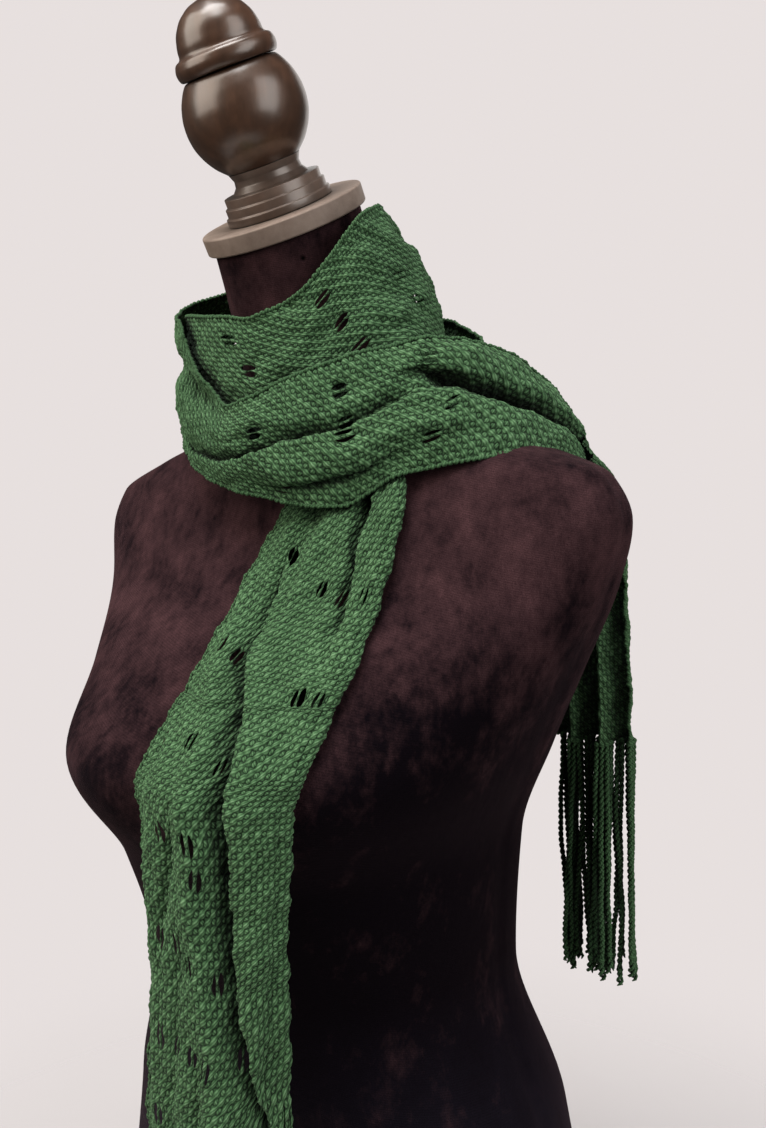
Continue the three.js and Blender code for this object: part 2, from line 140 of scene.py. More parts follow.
TURN_FOLDS = table(FOLD, [
    (285, 0.55, 352, 0.12, 7, 0.12, 0, 0), (330, 0.92, 385, 0.50, 6, 0.08, -0.03, -0.8),
    (385, 0.50, 428, 0.44, 7, 0.08, 0.015, -0.8), (434, 0.40, 460, 0.48, 9, 0.06, -0.02, -0.7),
    (432, 0.21, 480, 0.48, 17, 0.08, 0.05, 0.8), (450, 0.43, 476, 0.50, 12, 0.06, 0, 0),
    (375, 0.74, 440, 0.68, -3, 0.12, 0, 0), (376, 0.88, 416, 0.80, 6, 0.05, -0.04, 0.8),
    (392, 0.2, 420, 0.25, 1.6, 0.1, 0, 0),
    (372, 0.25, 398, 0.42, -1.3, 0.06, 0, 0), (428, 0.1, 462, 0.14, -3, 0.1, 0, 0),
    (414, 0.72, 452, 0.8, 1.6, 0.05, 0, 0), (175, 0.4, 260, 0.55, 2.5, 0.1, 0.06, 0),
    (396, 0.62, 424, 0.7, -1.5, 0.06, 0, 0), (350, 0.45, 372, 0.38, 1.4, 0.05, 0, 0),
])
PASS_FOLDS = table(FOLD, [
    (120, 0.4, 230, 0.6, 4, 0.14, 0, 0), (140, 0.2, 200, 0.15, 1.2, 0.08, 0, 0),
])
FRONT_TAIL = table("z left right roll gutter deep", [
    (320, 42, 76, 1.9, 0.26, 0), (308, 34, 87, 2, 0.26, 0), (298, 28, 95, 2.2, 0.26, 0),
    (287, 21, 97, 2.6, 0.27, 0), (274, 16, 95, 3.2, 0.27, 0), (260, 11, 95, 3.4, 0.28, 0.5),
    (245, 7, 94, 3.4, 0.30, 2), (220, 5, 95, 3.4, 0.38, 5), (204, 5, 96, 3.4, 0.46, 8),
    (186, 4, 93, 3.4, 0.61, 10), (164, 3, 93, 3.4, 0.72, 11), (150, 1, 91, 3.4, 0.77, 11),
    (140, 2, 89, 3.4, 0.80, 11), (125, 6, 88, 3.4, 0.82, 11), (90, 8, 86, 3.4, 0.84, 11),
    (65, 10, 85, 3.4, 0.86, 11), (35, 8, 85, 3.4, 0.90, 11), (10, 5, 85, 3.4, 0.94, 10),
    (-16, 2, 86, 3.4, 0.97, 8), (-44, 1, 87, 3.4, 0.98, 6), (-80, 2, 87, 3.4, 0.98, 4),
    (-112, 3, 88, 3.4, 0.93, 3),
])
TAIL_FOLDS = table("start end at_start at_end depth left right", [
    (338, 215, 0.67, 0.87, 7.5, 0.05, 0.03), (338, 275, 0.68, 0.79, 5, 0.07, 0.03),
    (300, 150, 0.34, 0.42, 2.2, 0.06, 0.07),
    (280, 120, 0.12, 0.10, 2.2, 0.05, 0.05), (290, 190, 0.50, 0.50, -2.5, 0.05, 0.06),
    (150, 70, 0.48, 0.24, 3.0, 0.05, 0.05), (120, -100, 0.14, 0.2, -1.6, 0.05, 0.05),
    (240, 160, 0.44, 0.55, 2.6, 0.03, 0.04), (70, -60, 0.42, 0.3, 2.6, 0.06, 0.05),
    (285, 230, 0.2, 0.26, -2, 0.04, 0.05), (100, 20, 0.9, 0.86, 1.4, 0.03, 0.04),
    (60, -20, 0.12, 0.1, 1.6, 0.04, 0.04), (40, -80, 0.62, 0.48, 2.0, 0.05, 0.05),
    (170, 120, 0.08, 0.16, 1.4, 0.04, 0.04),
])
BACK_TAIL = table("outer_x outer_y outer_z inner_x inner_y inner_z pleat", [
    (163, 41.5, 310.5, 141, 63.5, 339, 2.5), (166, 62, 297, 131, 84, 322, 5),
    (164, 82, 277, 120, 101, 298, 7), (160.5, 97, 252, 110, 112, 266, 8),
    (159.5, 104, 225, 105, 118, 234, 9), (160, 107, 190, 104, 121, 194, 9),
    (161, 108, 150, 104, 122, 150, 9), (161, 108, 122, 104, 122, 118, 9),
])

# How the weft lies on each stretch, a line for each, and how far its medallions gape where they
# are not listed one by one. On the loops `round` is where the weft crosses the middle and
# `slant` how far round its foot leads.
BAND_WEFT = table("round slant lace", [
    (-66, 0, 0), (-52, 4, 0), (-28, 12, 0), (0, 22, 0), (50, 30, 0), (85, 54, 0), (122, 30, 0),
    (152, 0, 0),
])
TURN_WEFT = table("round slant lace", [
    (152.6, 0, 0), (182, 0, 0.9), (217, 0, 0.9), (253, 0, 0.9), (290, 0, -0.7), (328, -4, -0.5),
    (368, -4, 0), (405, 5, 0), (440, 4, 0), (461, 2, 0), (475.5, 0, 0),
])
PASS_WEFT = table("round slant lace", [
    (52.5, 0, 0), (75, 0, 0.6), (104, 0, 0.6), (134, 0, 0.8), (163, 0, 0.9), (193, 0, 0.9),
    (222, 0, 0.9), (252, 0, 0.8), (280, 0, 0.5), (293.3, 0, 0),
])
# On the front tail the rises are those of the outer edge, of the far side of the gutter and of
# the turned edge over the middle of the panel.
TAIL_WEFT = table("z left past right lace", [
    (320, 0, 0, 0, 0), (286, 24, -2, -2, 0), (239, 28, -2, -3, 0), (198, 12, -7, -12, 0),
    (158, 12, -9, -16, 0), (107, 20, 4, 8, 0), (56, 15, 28, 38, 0), (8, 6, 27, 42, 0),
    (-42, 4, 18, 28, 0.9), (-92, 1, 5, 8, 0.9), (-112, 0, 0, 0, 0),
])
BACK_WEFT = table("share lace", [
    (0, 0), (0.12, -0.8), (0.33, -0.9), (0.54, -0.9), (0.75, -0.9), (0.94, -0.6), (1, 0),
])
# The medallions that gape in the folds, placed one by one.
BAND_LACE = table("round z open", [
    (-5, 385, 0.8), (5, 365, 1.1), (40, 402, 0.9), (48, 388, 1), (55, 375, 0.9), (65, 443, -0.8),
    (71, 430, -0.9), (84, 418, 0.3), (92, 407, 0.4),
])
TURN_LACE = table("round z open", [
    (11, 329, 1.1), (22, 297, 0.3), (43, 351, 1.1), (45, 333, 1.2), (44, 325, 0.9),
    (72, 366, 1), (75, 343, 0.7), (69, 325, 0.9), (94, 360, -0.9), (97, 336, -0.9),
])
TAIL_LACE = table("x z open", [
    (39, 258, 1.2), (64, 241, 0.9), (76, 238, 0.7), (90, 240, 0.5), (20, 213, 0.6),
    (31, 207, 1.1), (43, 209, 0.8), (80, 192, 1.1), (91, 190, 0.8), (38, 171, 0.9),
    (13, 168, 0.6), (56, 161, 0.7), (80, 150, 0.8), (88, 145, 0.6), (31, 131, 0.9),
    (53, 128, 0.9), (56, 111, 0.9), (65, 106, 0.8), (28, 75, 0.9), (41, 75, 0.6),
    (51, 67, 0.9), (62, 58, 1), (26, 24, 0.9), (37, 20, 0.6), (49, 18, 0.9), (59, 15, 0.9),
    (69, 18, 0.9), (22, -22, 0.9), (81, 87, 0.5), (74, 32, 0.5),
])


# ---- curves through the tables -------------------------------------------------------------
def smooth_column(xs, ys):
    """A curve through one column that never overshoots its rows."""
    xs, ys = np.asarray(xs, float), np.asarray(ys, float)
    h = np.diff(xs)
    d = np.diff(ys) / h
    m = np.zeros(len(ys))
    for i in range(1, len(ys) - 1):
        if d[i - 1] * d[i] > 0:
            a, b = 2 * h[i] + h[i - 1], h[i] + 2 * h[i - 1]
            m[i] = (a + b) / (a / d[i - 1] + b / d[i])
    m[0], m[-1] = d[0], d[-1]

    def at(x):
        x = np.asarray(x, float)
        i = np.clip(np.searchsorted(xs, x, side="left") - 1, 0, len(xs) - 2)
        t = np.clip((x - xs[i]) / h[i], 0, 1)
        t2, t3 = t * t, t * t * t
        return ((2 * t3 - 3 * t2 + 1) * ys[i] + (t3 - 2 * t2 + t) * h[i] * m[i]
                + (3 * t2 - 2 * t3) * ys[i + 1] + (t3 - t2) * h[i] * m[i + 1])
    return at


def section(rows, share):
    """All the columns of a table at a share of the way down its rows."""
    n = len(next(iter(rows.values())))
    return {k: smooth_column(np.arange(n), v)(np.asarray(share) * (n - 1)) for k, v in rows.items()}


def ease(x):
    t = np.clip(x, 0, 1)
    return t * t * (3 - 2 * t)


def bell(x):
    return np.exp(-x ** 2)


def unit(v):
    return v / np.maximum(np.linalg.norm(v, axis=-1, keepdims=True), 1e-12)


def travelled(path):
    """How far along a path each of its points lies."""
    return np.concatenate([[0], np.cumsum(np.linalg.norm(np.diff(path, axis=0), axis=1))])


def along_path(path, gone, s):
    """The points of a path at the distances `s` along it."""
    return np.stack([np.interp(s, gone, path[:, c]) for c in range(3)], -1)


# ---- the form's shape ----------------------------------------------------------------------
TORSO_AT = {k: smooth_column(TORSO["z"], v) for k, v in TORSO.items() if k != "z"}


def torso_point(z, turn, proud=0.0):
    """A point of the torso, `turn` degrees round from its own left side through the back."""
    neck = np.clip((z - NECK_FOOT) / 60, 0, 1)
    power = 2 / (ROUND_OFF * (1 - neck) + 2 * neck)
    c, s = np.cos(np.radians(turn)), np.sin(np.radians(turn))
    x = (TORSO_AT["half"](z) + proud) * np.sign(c) * np.abs(c) ** power
    reach = np.where(s > 0, TORSO_AT["back"](z), TORSO_AT["front"](z)) + proud
    deep = reach * np.sign(s) * np.abs(s) ** power
    hollow = BUST_HOLLOW * bell((z - BUST) / 45) * bell(x / 26)
    deep = deep + np.where(s < 0, hollow, 0)
    lean = np.radians(TORSO_AT["lean"](z))
    return np.stack([x + 0 * deep, TORSO_AT["y"](z) + deep * np.cos(lean),
                     WAIST + z + deep * np.sin(lean)], -1)


LEVELS = np.arange(BUST, 346.0)
SIDE_REACH = 210
SIDEWAYS = np.arange(-SIDE_REACH, SIDE_REACH + 1.0)
FRONTS = np.array([np.interp(SIDEWAYS, p[:, 0], p[:, 1]) for p in
                   torso_point(LEVELS[:, None], np.arange(180.0, 361.0)[None, :])])


def torso_front(x, z):
    """How far forward the torso comes across its front, plumb below the bust line."""
    i = np.clip(z, BUST, LEVELS[-1] - 0.01) - BUST
    j = np.clip(x, 1 - SIDE_REACH, SIDE_REACH - 1) + SIDE_REACH
    a, b = i.astype(int), j.astype(int)
    i, j = i - a, j - b
    return ((1 - i) * ((1 - j) * FRONTS[a, b] + j * FRONTS[a, b + 1])
            + i * ((1 - j) * FRONTS[a + 1, b] + j * FRONTS[a + 1, b + 1]))


# ---- the scarf's surfaces, each from a share of its length and a share of its width --------
def loop_point(around, r, z):
    a = np.radians(around)
    c = np.cos(a)
    flat = np.where(c > 0, LOOP_FLATNESS + (1 - LOOP_FLATNESS) * bell(c / 0.25), 1)
    return np.stack([r * np.sin(a), LOOP_CENTRE_Y - r * flat * c, WAIST + z], -1)


def mid_round(s):
    return (s["top_round"] + s["foot_round"]) / 2


def faded(x, start, end, over):
    """1 from start to end, and fading out within `over` beyond each."""
    return ease((x - start + over) / (2 * over)) * ease((end + over - x) / (2 * over))


def loop_surface(rows, folds):
    def at(along, across):
        s = section(rows, along)
        top = loop_point(s["top_round"], s["top_r"], s["top_z"])
        drop = loop_point(s["foot_round"], s["foot_r"], s["foot_z"]) - top
        around = mid_round(s)
        a = np.radians(around)
        travel = np.stack([np.cos(a), np.sin(a), 0 * a], -1)
        out = unit(np.cross(unit(drop), travel))
        facing = out[..., 0] * np.sin(a) - out[..., 1] * np.cos(a)
        out = out * np.where(facing < 0, -1, 1)[..., None]
        swell = s["belly"] * 4 * across * (1 - across)
        for start, at_start, end, at_end, depth, width, bow, lap in zip(*folds.values()):
            t = np.clip((around - start) / (end - start), 0, 1)
            centre = at_start + (at_end - at_start) * t + bow * 4 * t * (1 - t)
            e = (across - centre) / width
            e = -e if lap < 0 else e
            # a lapped fold swells towards its lip, drops sharply past it and eases out
            hung = np.where(e < 0, -0.5 * np.exp(e / 1.6), bell(e / 1.5))
            hung = hung + 0.25 * bell(e / 0.12) * np.where(e < 0, 1, -1)
            swell = swell - depth * faded(around, start, end, 12) * (
                (1 - abs(lap)) * bell(e) + abs(lap) * hung)
        return top + drop * across[..., None] + out * swell[..., None]
    return at


# The front tail's lift, its gutter's depth for each mm in the table and reach to either side, the
# ridges beside the gutter as height, place and width, and how far the one past it leans over it.
TAIL_LIFT = 1.5
GUTTER_DEPTH = 2.4
GUTTER_SIDES = (0.13, 0.025)
GUTTER_RIDGES = ((5.5, 0.09, 0.07), (6, -0.24, 0.11))
OVERHANG = 5
# The least that the cloth stands off, the height that its outer edge sinks towards, the share of
# its height that it keeps there, and over what share of the width it sinks.
LEAST_OFF, EDGE_OFF, EDGE_KEEP, EDGE_SHARE = 1.6, 2.2, 0.45, 0.12


def front_tail_surface(along, across):
    s = section(FRONT_TAIL, along)
    z, left, right, roll = s["z"], s["left"], s["right"], s["roll"]
    width = right - left
    run = across * (width + np.pi * roll + UNDER)
    q = run / width
    past = q - s["gutter"]
    off = STAND_OFF + 2 * roll + TAIL_LIFT
    off = off - GUTTER_DEPTH * s["deep"] * bell(past / np.where(past < 0, *GUTTER_SIDES))
    for start, end, at_start, at_end, depth, wl, wr in zip(*TAIL_FOLDS.values()):
        t = np.clip((start - z) / (start - end), 0, 1)
        e = q - (at_start + (at_end - at_start) * t)
        off = off - depth * faded(z, end, start, 20) * bell(e / np.where(e < 0, wl, wr))
    lip = np.clip(s["deep"] / 6, 0, 1)
    off = off + lip * sum(high * bell((past - at) / wide) for high, at, wide in GUTTER_RIDGES)
    off = np.maximum(off, LEAST_OFF)
    off = EDGE_OFF + (off - EDGE_OFF) * (
        EDGE_KEEP + (1 - EDGE_KEEP) * np.clip(q / EDGE_SHARE, 0, 1))
    # beyond the turned edge the cloth runs back under itself
    turn = np.clip((run - width) / roll, 0, np.pi)
    beyond = run > width
    x = np.where(beyond, right + roll * np.sin(turn)
                 - np.maximum(0, run - width - np.pi * roll), left + run)
    off = np.where(beyond, STAND_OFF + roll * (1 + np.cos(turn)), off)
    x = x - lip * OVERHANG * bell((past - 0.06) / 0.05)
    return np.stack([x, torso_front(x, z) - off, WAIST + z], -1)


def back_tail_surface(along, across):
    s = section(BACK_TAIL, along)
    outer = np.stack([s["outer_x"], s["outer_y"], WAIST + s["outer_z"]], -1)
    chord = np.stack([s["inner_x"], s["inner_y"], WAIST + s["inner_z"]], -1) - outer
    down = np.broadcast_to(np.array([0, 0.15, -1.0]), chord.shape)
    out = unit(np.cross(unit(chord), down))
    out = out * np.where(out[..., 1] < 0, -1, 1)[..., None]
    wave = s["pleat"] * np.sin(2 * np.pi * PLEATS * across)
    return outer + chord * across[..., None] + out * wave[..., None]


# ---- how the weft leads, and where the medallions lie, on each stretch ---------------------
# The share by which a slant shortens on the loops, and the shares of the front tail's width at
# which its leads are given.
SLANT_KEEP = 0.93
TAIL_PLACES = (0, 0.56, 0.72, 1)
SHARES = np.linspace(0, 1, 400)
# Medallions that aren't listed: threads from one to the next, the margins at both edges as shares
# of that, how much they stray, mm, how many hang nearly shut, and their gape in that case.
LACE_COLUMNS = 7
MARGINS = (0.4, 0.3)
STRAY_ALONG, STRAY_ACROSS = 1.6, 1
SHUT_SHARE, SHUT_GAPE = 0.25, 0.25


def loop_rises(rows, weft):
    def rises(a, b):
        s = section(rows, a)
        slant = np.interp(mid_round(s), weft["round"], weft["slant"])
        r = (s["top_r"] + s["foot_r"]) / 2 * np.pi / 180 * SLANT_KEEP
        return -(slant * r)[:, None] * (b - 0.5)[None, :]
    return rises


def tail_rises(a, b):
    z = section(FRONT_TAIL, a)["z"]
    left, past, right = (np.interp(-z, -TAIL_WEFT["z"], TAIL_WEFT[k])
                         for k in ("left", "past", "right"))
    return np.array([smooth_column(TAIL_PLACES, lead)(b)
                     for lead in zip(left, 0 * left, past, right)])


def flat_rises(a, b):
    return np.zeros((len(a), len(b)))


def lace_rows(places, weft, key, sign=1):
    """The share of the length at which each row of medallions lies, and its gape."""
    return [(float(np.interp(sign * at, sign * places, SHARES)), gape)
            for at, gape in zip(weft[key], weft["lace"]) if gape]


def loop_rows(rows, weft):
    return lace_rows(mid_round(section(rows, SHARES)), weft, "round")


def place_lace(seen, coordinates, rows):
    """Medallions where they are known to gape, and in regular rows where none are listed."""
    def lace(points, v, u, length, a, rng):
        where = coordinates(points)
        out = []
        for first, second, gape in zip(*seen.values()):
            off = ((where[0] - first) * where[2]) ** 2 + (where[1] - second) ** 2
            i, k = np.unravel_index(np.argmin(off), off.shape)
            out.append((v[i], u[k], gape))
        step = LACE_COLUMNS * (u[PER_THREAD] - u[0])
        for share, gape in rows:
            at = float(np.interp(share, a, length))
            for c in np.arange(MARGINS[0] * step, u[-1] - MARGINS[1] * step, step):
                shut = rng.random() < SHUT_SHARE
                out.append((at + rng.uniform(-STRAY_ALONG, STRAY_ALONG),
                            c + rng.uniform(-STRAY_ACROSS, STRAY_ACROSS),
                            gape * (SHUT_GAPE if shut else rng.uniform(0.6, 1.1))))
        return out
    return lace


# How much more a place round the neck counts than one up and down, mm for each degree.
ROUND_WEIGHT = 1.4


def round_and_height(points):
    deep = LOOP_CENTRE_Y - points[..., 1]
    turn = np.degrees(np.arctan2(points[..., 0], deep / np.where(deep > 0, LOOP_FLATNESS, 1)))
    return turn, points[..., 2] - WAIST, ROUND_WEIGHT


def side_and_height(points):
    return points[..., 0], points[..., 2] - WAIST, 1.0


def away_from_neck(p):
    d = p - np.array([0, LOOP_CENTRE_Y, 0])
    d[..., 2] = 0
    return d


def forward(p):
    return np.broadcast_to(np.array([0, -1.0, 0]), p.shape)


def backward(p):
    return -forward(p)


# ---- weaving a stretch on its surface ------------------------------------------------------
SLANT = 0.16
WARP_REACH = 0.30
WEFT_REACH = -0.34
ALONG, ACROSS = 420, 220          # samples of a surface before it is woven
PER_THREAD = 4                    # points for each thread
PROUD = 0.3                       # mean height of the cloth over its surface, mm
SLIT_PULL = 3.2                   # how far round a slit the threads give way, mm
SLIT_LEAST = 0.02                 # a slit that is narrower stays shut, mm
BUNDLE_HEIGHT = 0.9               # rise of the bundle between two slits, mm
BUNDLE_WIDTH = 1.3                # half its width, mm
DISH_WIDTH = 4.5                  # half the width of the dish that it rises from, mm
SCALLOP = 0.8                     # depth of the selvedge's scallops, mm
ROUND = 6.28
# Wavelength and height of the slow unevenness of hand weaving, mm.
UNEVEN = ((33, 0.8), (19, 0.45), (11, 0.25), (7, 0.14))


def floats(u, v):
    """Height of the plain weave, 0 to 1, where u and v count warp and weft threads.

    The warp floats are large and lean into each other along one diagonal, and the weft shows as
    small dots between them.
    """
    crossing = 0.5 * ((1 + SLANT) * np.cos(np.pi * (u - v)) - (1 - SLANT) * np.cos(np.pi * (u + v)))
    warp = np.clip((crossing + WARP_REACH) / (1 + WARP_REACH), 0, 1) ** 0.5
    weft = 0.8 * np.clip((WEFT_REACH - crossing) / (1 + WEFT_REACH), 0, 1) ** 0.5
    return np.maximum(warp, weft)


def lay_threads(dense, v, u, length, run, lead):
    """The crossings of the threads on a sampled surface, evenly spaced in the cloth."""
    a, b = np.linspace(0, 1, ALONG), np.linspace(0, 1, ACROSS)
    share = u / run[:, -1].mean()
    lead = np.array([np.interp(share, b, row) for row in lead])
    field = np.empty((ALONG, len(u), 3))
    for i in range(ALONG):
        field[i] = along_path(dense[i], b, np.interp(share, run[i] / run[i, -1], b))
    points = np.empty((len(v), len(u), 3))
    for k in range(len(u)):
        cloth = np.maximum.accumulate(length + lead[:, k] + 1e-6 * np.arange(ALONG))
        points[:, k] = along_path(field[:, k], a, np.interp(v, cloth, a))
    # soften the linear steps of the sampling
    for _ in range(2):
        points[1:-1] = 0.25 * points[:-2] + 0.5 * points[1:-1] + 0.25 * points[2:]
    return points


def open_lace(holes, v, u, side, pitch, sizes, rng):
    """How far each point moves across and outward at the medallions, and the open slits."""
    half = sizes.medallion_length / MM / 2
    shift, raised = np.zeros((2, len(v), len(u)))
    opened = np.zeros((len(v), len(u)), bool)
    for at, c, gape in holes:
        reach = half * rng.uniform(0.85, 1.15)
        near = np.abs(v - at) < 3 * reach
        d = (v[near] - at)[:, None]
        for s in (-1, 1):
            wide = sizes.slit_width / MM / 2 * max(gape, 0) * rng.uniform(0.7, 1.15)
            long, skew = reach * rng.uniform(0.75, 1.0), rng.uniform(-1.2, 1.2)
            gap = wide * np.sqrt(np.maximum(0, 1 - ((d - skew) / long) ** 2))
            o = (u - (c + s * pitch / 2))[None, :]
            on_line = np.abs(o) < 0.3 * pitch / PER_THREAD
            sign = np.where(on_line, side[None, :], np.sign(o))
            shift[near] += gap * sign * np.exp(-np.abs(o) / SLIT_PULL)
            opened[near] |= on_line & (gap > SLIT_LEAST)
        window = np.exp(-(d / (reach * 1.1)) ** 4)
        o = (u - c)[None, :]
        raised[near] += abs(gape) * window * BUNDLE_HEIGHT * (
            bell(o / BUNDLE_WIDTH) - bell(o / DISH_WIDTH))
    return shift, raised, opened


def strayed(v, u, rng):
    """Cloth coordinates that wander a little, as threads beaten in by hand do."""
    p = rng.uniform(0, ROUND, 4)
    return (u + 0.4 * np.sin(v / 9 + p[0] + np.sin(u / 13)) + 0.2 * np.sin(v / 4.1 + p[1]),
            v + 0.6 * np.sin(u / 8 + p[2] + np.sin(v / 15)) + 0.35 * np.sin(u / 3.7 + p[3]))


def unevenness(v, u, rng):
    out = 0
    for wave, size in UNEVEN:
        p, q, r, s = rng.uniform(0, ROUND, 4)
        across = np.sin(u * ROUND / wave + p + 1.2 * np.sin(v * ROUND / (wave * 2.3) + q))
        along = np.cos(v * ROUND / (wave * 1.3) + r + np.sin(u * ROUND / (wave * 1.7) + s))
        out = out + size * across * along
    return out


def weave(surface, rises, lace, outward, sizes, rng, bunched):
    """The points, faces and cloth coordinates of one stretch.

    `rises` gives, for shares of the length and the width, how far the weft leads there.
    `lace` places the medallions, as rows of (place along, place across, gape). Where the gape
    is less than nothing the slits stay shut, and only the bundle between them rises.
    """
    warp_pitch, weft_pitch = sizes.warp_pitch / MM * bunched, sizes.weft_pitch / MM / bunched ** 0.5
    a, b = np.linspace(0, 1, ALONG), np.linspace(0, 1, ACROSS)
    dense = surface(*np.meshgrid(a, b, indexing="ij"))
    run = np.array([travelled(line) for line in dense])
    total = run[:, -1].mean()
    length = travelled(dense[:, ACROSS // 2])
    v = np.arange(0, length[-1], weft_pitch / PER_THREAD)
    u = np.arange(0, total, warp_pitch / PER_THREAD)
    points = lay_threads(dense, v, u, length, run, rises(a, b))
    # a medallion opens on both sides of a warp thread, along two lines of doubled points
    holes = []
    for at, over, gape in lace(points, v, u, length, a, rng):
        c = (round(over / warp_pitch - 0.5) + 0.5) * warp_pitch
        if 1.2 * warp_pitch < c < total - 1.2 * warp_pitch:
            holes.append((at, c, gape))
    slits = {int(np.argmin(np.abs(u - (c + s)))) for _, c, _ in holes
             for s in (-warp_pitch / 2, warp_pitch / 2)}
    order = np.array([k for k in range(len(u)) for _ in range(2 if k in slits else 1)])
    side = np.array([s for k in range(len(u)) for s in ((-1, 1) if k in slits else (0,))])
    u = u[order]
    across_dir = unit(np.gradient(points, axis=1))[:, order]
    points = points[:, order]
    normal = unit(np.cross(across_dir, unit(np.gradient(points, axis=0))))
    flip = np.sign(np.sum(normal * outward(points), axis=-1).mean())
    normal *= flip
    shift, raised, opened = open_lace(holes, v, u, side, warp_pitch, sizes, rng)
    grid = v[:, None], u[None, :]
    cloth_u, cloth_v = strayed(*grid, rng)
    cloth_u, cloth_v = cloth_u / warp_pitch * flip, cloth_v / weft_pitch
    yarn = sizes.yarn_height / MM * floats(cloth_u, cloth_v)
    height = raised + unevenness(*grid, rng) + yarn + PROUD
    points = points + across_dir * shift[..., None] + normal * height[..., None]
    scallop = SCALLOP * np.abs(np.sin(np.pi * v / weft_pitch))[:, None]
    for edge, sign in ((0, -1), (-1, 1)):
        points[:, edge] += sign * across_dir[:, edge] * scallop
    # faces, open between the two sides of each slit
    index = np.arange(len(v) * len(u)).reshape(len(v), len(u))
    faces = []
    for k in range(len(u)):
        if side[k] == 1:
            same = ~opened[:, k]
            index[same, k] = index[same, k - 1]
            points[same, k] = points[same, k - 1]
    for k in range(len(u) - 1):
        if side[k] != -1:
            quads = [index[:-1, k], index[:-1, k + 1], index[1:, k + 1], index[1:, k]]
            faces.append(np.stack(quads, -1))
    faces = np.concatenate(faces)
    if flip < 0:
        faces = faces[:, ::-1]
    used, faces = np.unique(faces, return_inverse=True)
    return {
        "points": points.reshape(-1, 3)[used], "faces": faces.reshape(-1, 4),
        "cloth": np.stack([cloth_u, cloth_v], -1).reshape(-1, 2)[used],
        "edges": (points[:, 0], points[:, -1]), "hem": points[-1],
        "width": total, "length": length[-1], "weft_pitch": weft_pitch,
    }


# ---- meshes --------------------------------------------------------------------------------
def mesh_piece(name, points, faces, coords=None, material=None):
    """A smooth mesh from points in millimetres, with cloth coordinates counted in threads."""
    mesh = bpy.data.meshes.new(name)
    mesh.from_pydata((np.asarray(points) * MM).tolist(), [], [list(map(int, f)) for f in faces])
    mesh.polygons.foreach_set("use_smooth", np.ones(len(mesh.polygons), bool))
    if coords is not None:
        layer = mesh.uv_layers.new(name="cloth")
        which = np.empty(len(mesh.loops), np.int32)
        mesh.loops.foreach_get("vertex_index", which)
        layer.data.foreach_set("uv", np.asarray(coords)[which].astype(np.float32).ravel())
    mesh.validate()
    mesh.update()
    piece = bpy.data.objects.new(name, mesh)
    bpy.context.scene.collection.objects.link(piece)
    if material:
        mesh.materials.append(material)
    return piece


def ring_quads(rings, around):
    """Faces between rings of points that are numbered ring by ring."""
    i, j = np.meshgrid(np.arange(rings - 1), np.arange(around), indexing="ij")
    k = (j + 1) % around
    quads = [i * around + j, i * around + k, (i + 1) * around + k, (i + 1) * around + j]
    return np.stack(quads, -1).reshape(-1, 4)


def closed_rings(rings, ends):
    """The points and faces of a body through rings of points, drawn to a point at both ends."""
    n, around = rings.shape[:2]
    low, last = n * around, (n - 1) * around
    faces = [tuple(q) for q in ring_quads(n, around)]
    faces += [(low, (j + 1) % around, j) for j in range(around)]
    faces += [(low + 1, last + j, last + (j + 1) % around) for j in range(around)]
    return np.concatenate([rings.reshape(-1, 3), ends]), faces


def tube(path, radii, sides):
    """A closed round tube along a path, with its own radius at each point."""
    path = np.asarray(path, float)
    n = len(path)
    t = unit(np.gradient(path, axis=0))
    a = np.empty_like(path)
    last = np.array([0.3, 0.9, 0.1])
    for i in range(n):
        last = unit(last - t[i] * np.dot(last, t[i]))
        a[i] = last
    b = np.cross(t, a)
    ang = np.linspace(0, 2 * np.pi, sides, endpoint=False)
    ring = (a[:, None] * np.cos(ang)[None, :, None] + b[:, None] * np.sin(ang)[None, :, None])
    points = (path[:, None] + ring * np.asarray(radii, float).reshape(-1, 1, 1)).reshape(-1, 3)
    faces = [tuple(q) for q in np.roll(ring_quads(n, sides), -1, axis=1)]
    faces += [tuple(range(sides)), tuple(range((n - 1) * sides, n * sides))[::-1]]
    round_it = np.arange(sides)[None, :] / sides * 4.0
    coords = np.stack(np.broadcast_arrays(round_it, travelled(path)[:, None]), -1)
    return points, faces, coords.reshape(-1, 2)


def gather(parts):
    """Several point, face, coordinate sets as one."""
    faces, base = [], 0
    for points, own, _ in parts:
        faces += [tuple(int(x) + base for x in q) for q in own]
        base += len(points)
    return np.concatenate([p[0] for p in parts]), faces, np.concatenate([p[2] for p in parts])


def plied(path, core, strand, lay, sides, start, spread):
    """Two strands twisted round each other along a path."""
    t = unit(np.gradient(path, axis=0))
    a = unit(np.cross(t, np.array([0.2, 1.0, 0.15])))
    b = np.cross(t, a)
    gone = travelled(path)
    out = []
    for k in range(2):
        ang = start + 2 * np.pi * gone / lay + k * np.pi
        off = (a * np.cos(ang)[:, None] + b * np.sin(ang)[:, None]) * (core * spread)[:, None]
        r = np.full(len(path), strand)
        r[-1] *= 0.35
        out.append(tube(path + off, r, sides))
    return out


def softened(profile, soft, spacing=4):
    """A profile of (radius, height) with its corners rounded, in steps of even size."""
    pts = [np.array(p, float) for p in profile]
    out = [pts[0]]
    for before, p, after in zip(pts, pts[1:], pts[2:]):
        before, after = before - p, after - p
        la, lb = np.linalg.norm(before), np.linalg.norm(after)
        cut = min(soft, la * 0.4, lb * 0.4)
        e0, e1 = p + before / la * cut, p + after / lb * cut
        for t in (0, 0.33, 0.67, 1):
            out.append((1 - t) ** 2 * e0 + 2 * t * (1 - t) * p + t * t * e1)
    out.append(pts[-1])
    fine = [out[0]]
    for p in out[1:]:
        start = fine[-1]
        n = max(1, int(np.linalg.norm(p - start) // spacing))
        fine += [start + (p - start) * (i + 1) / n for i in range(n)]
    return fine


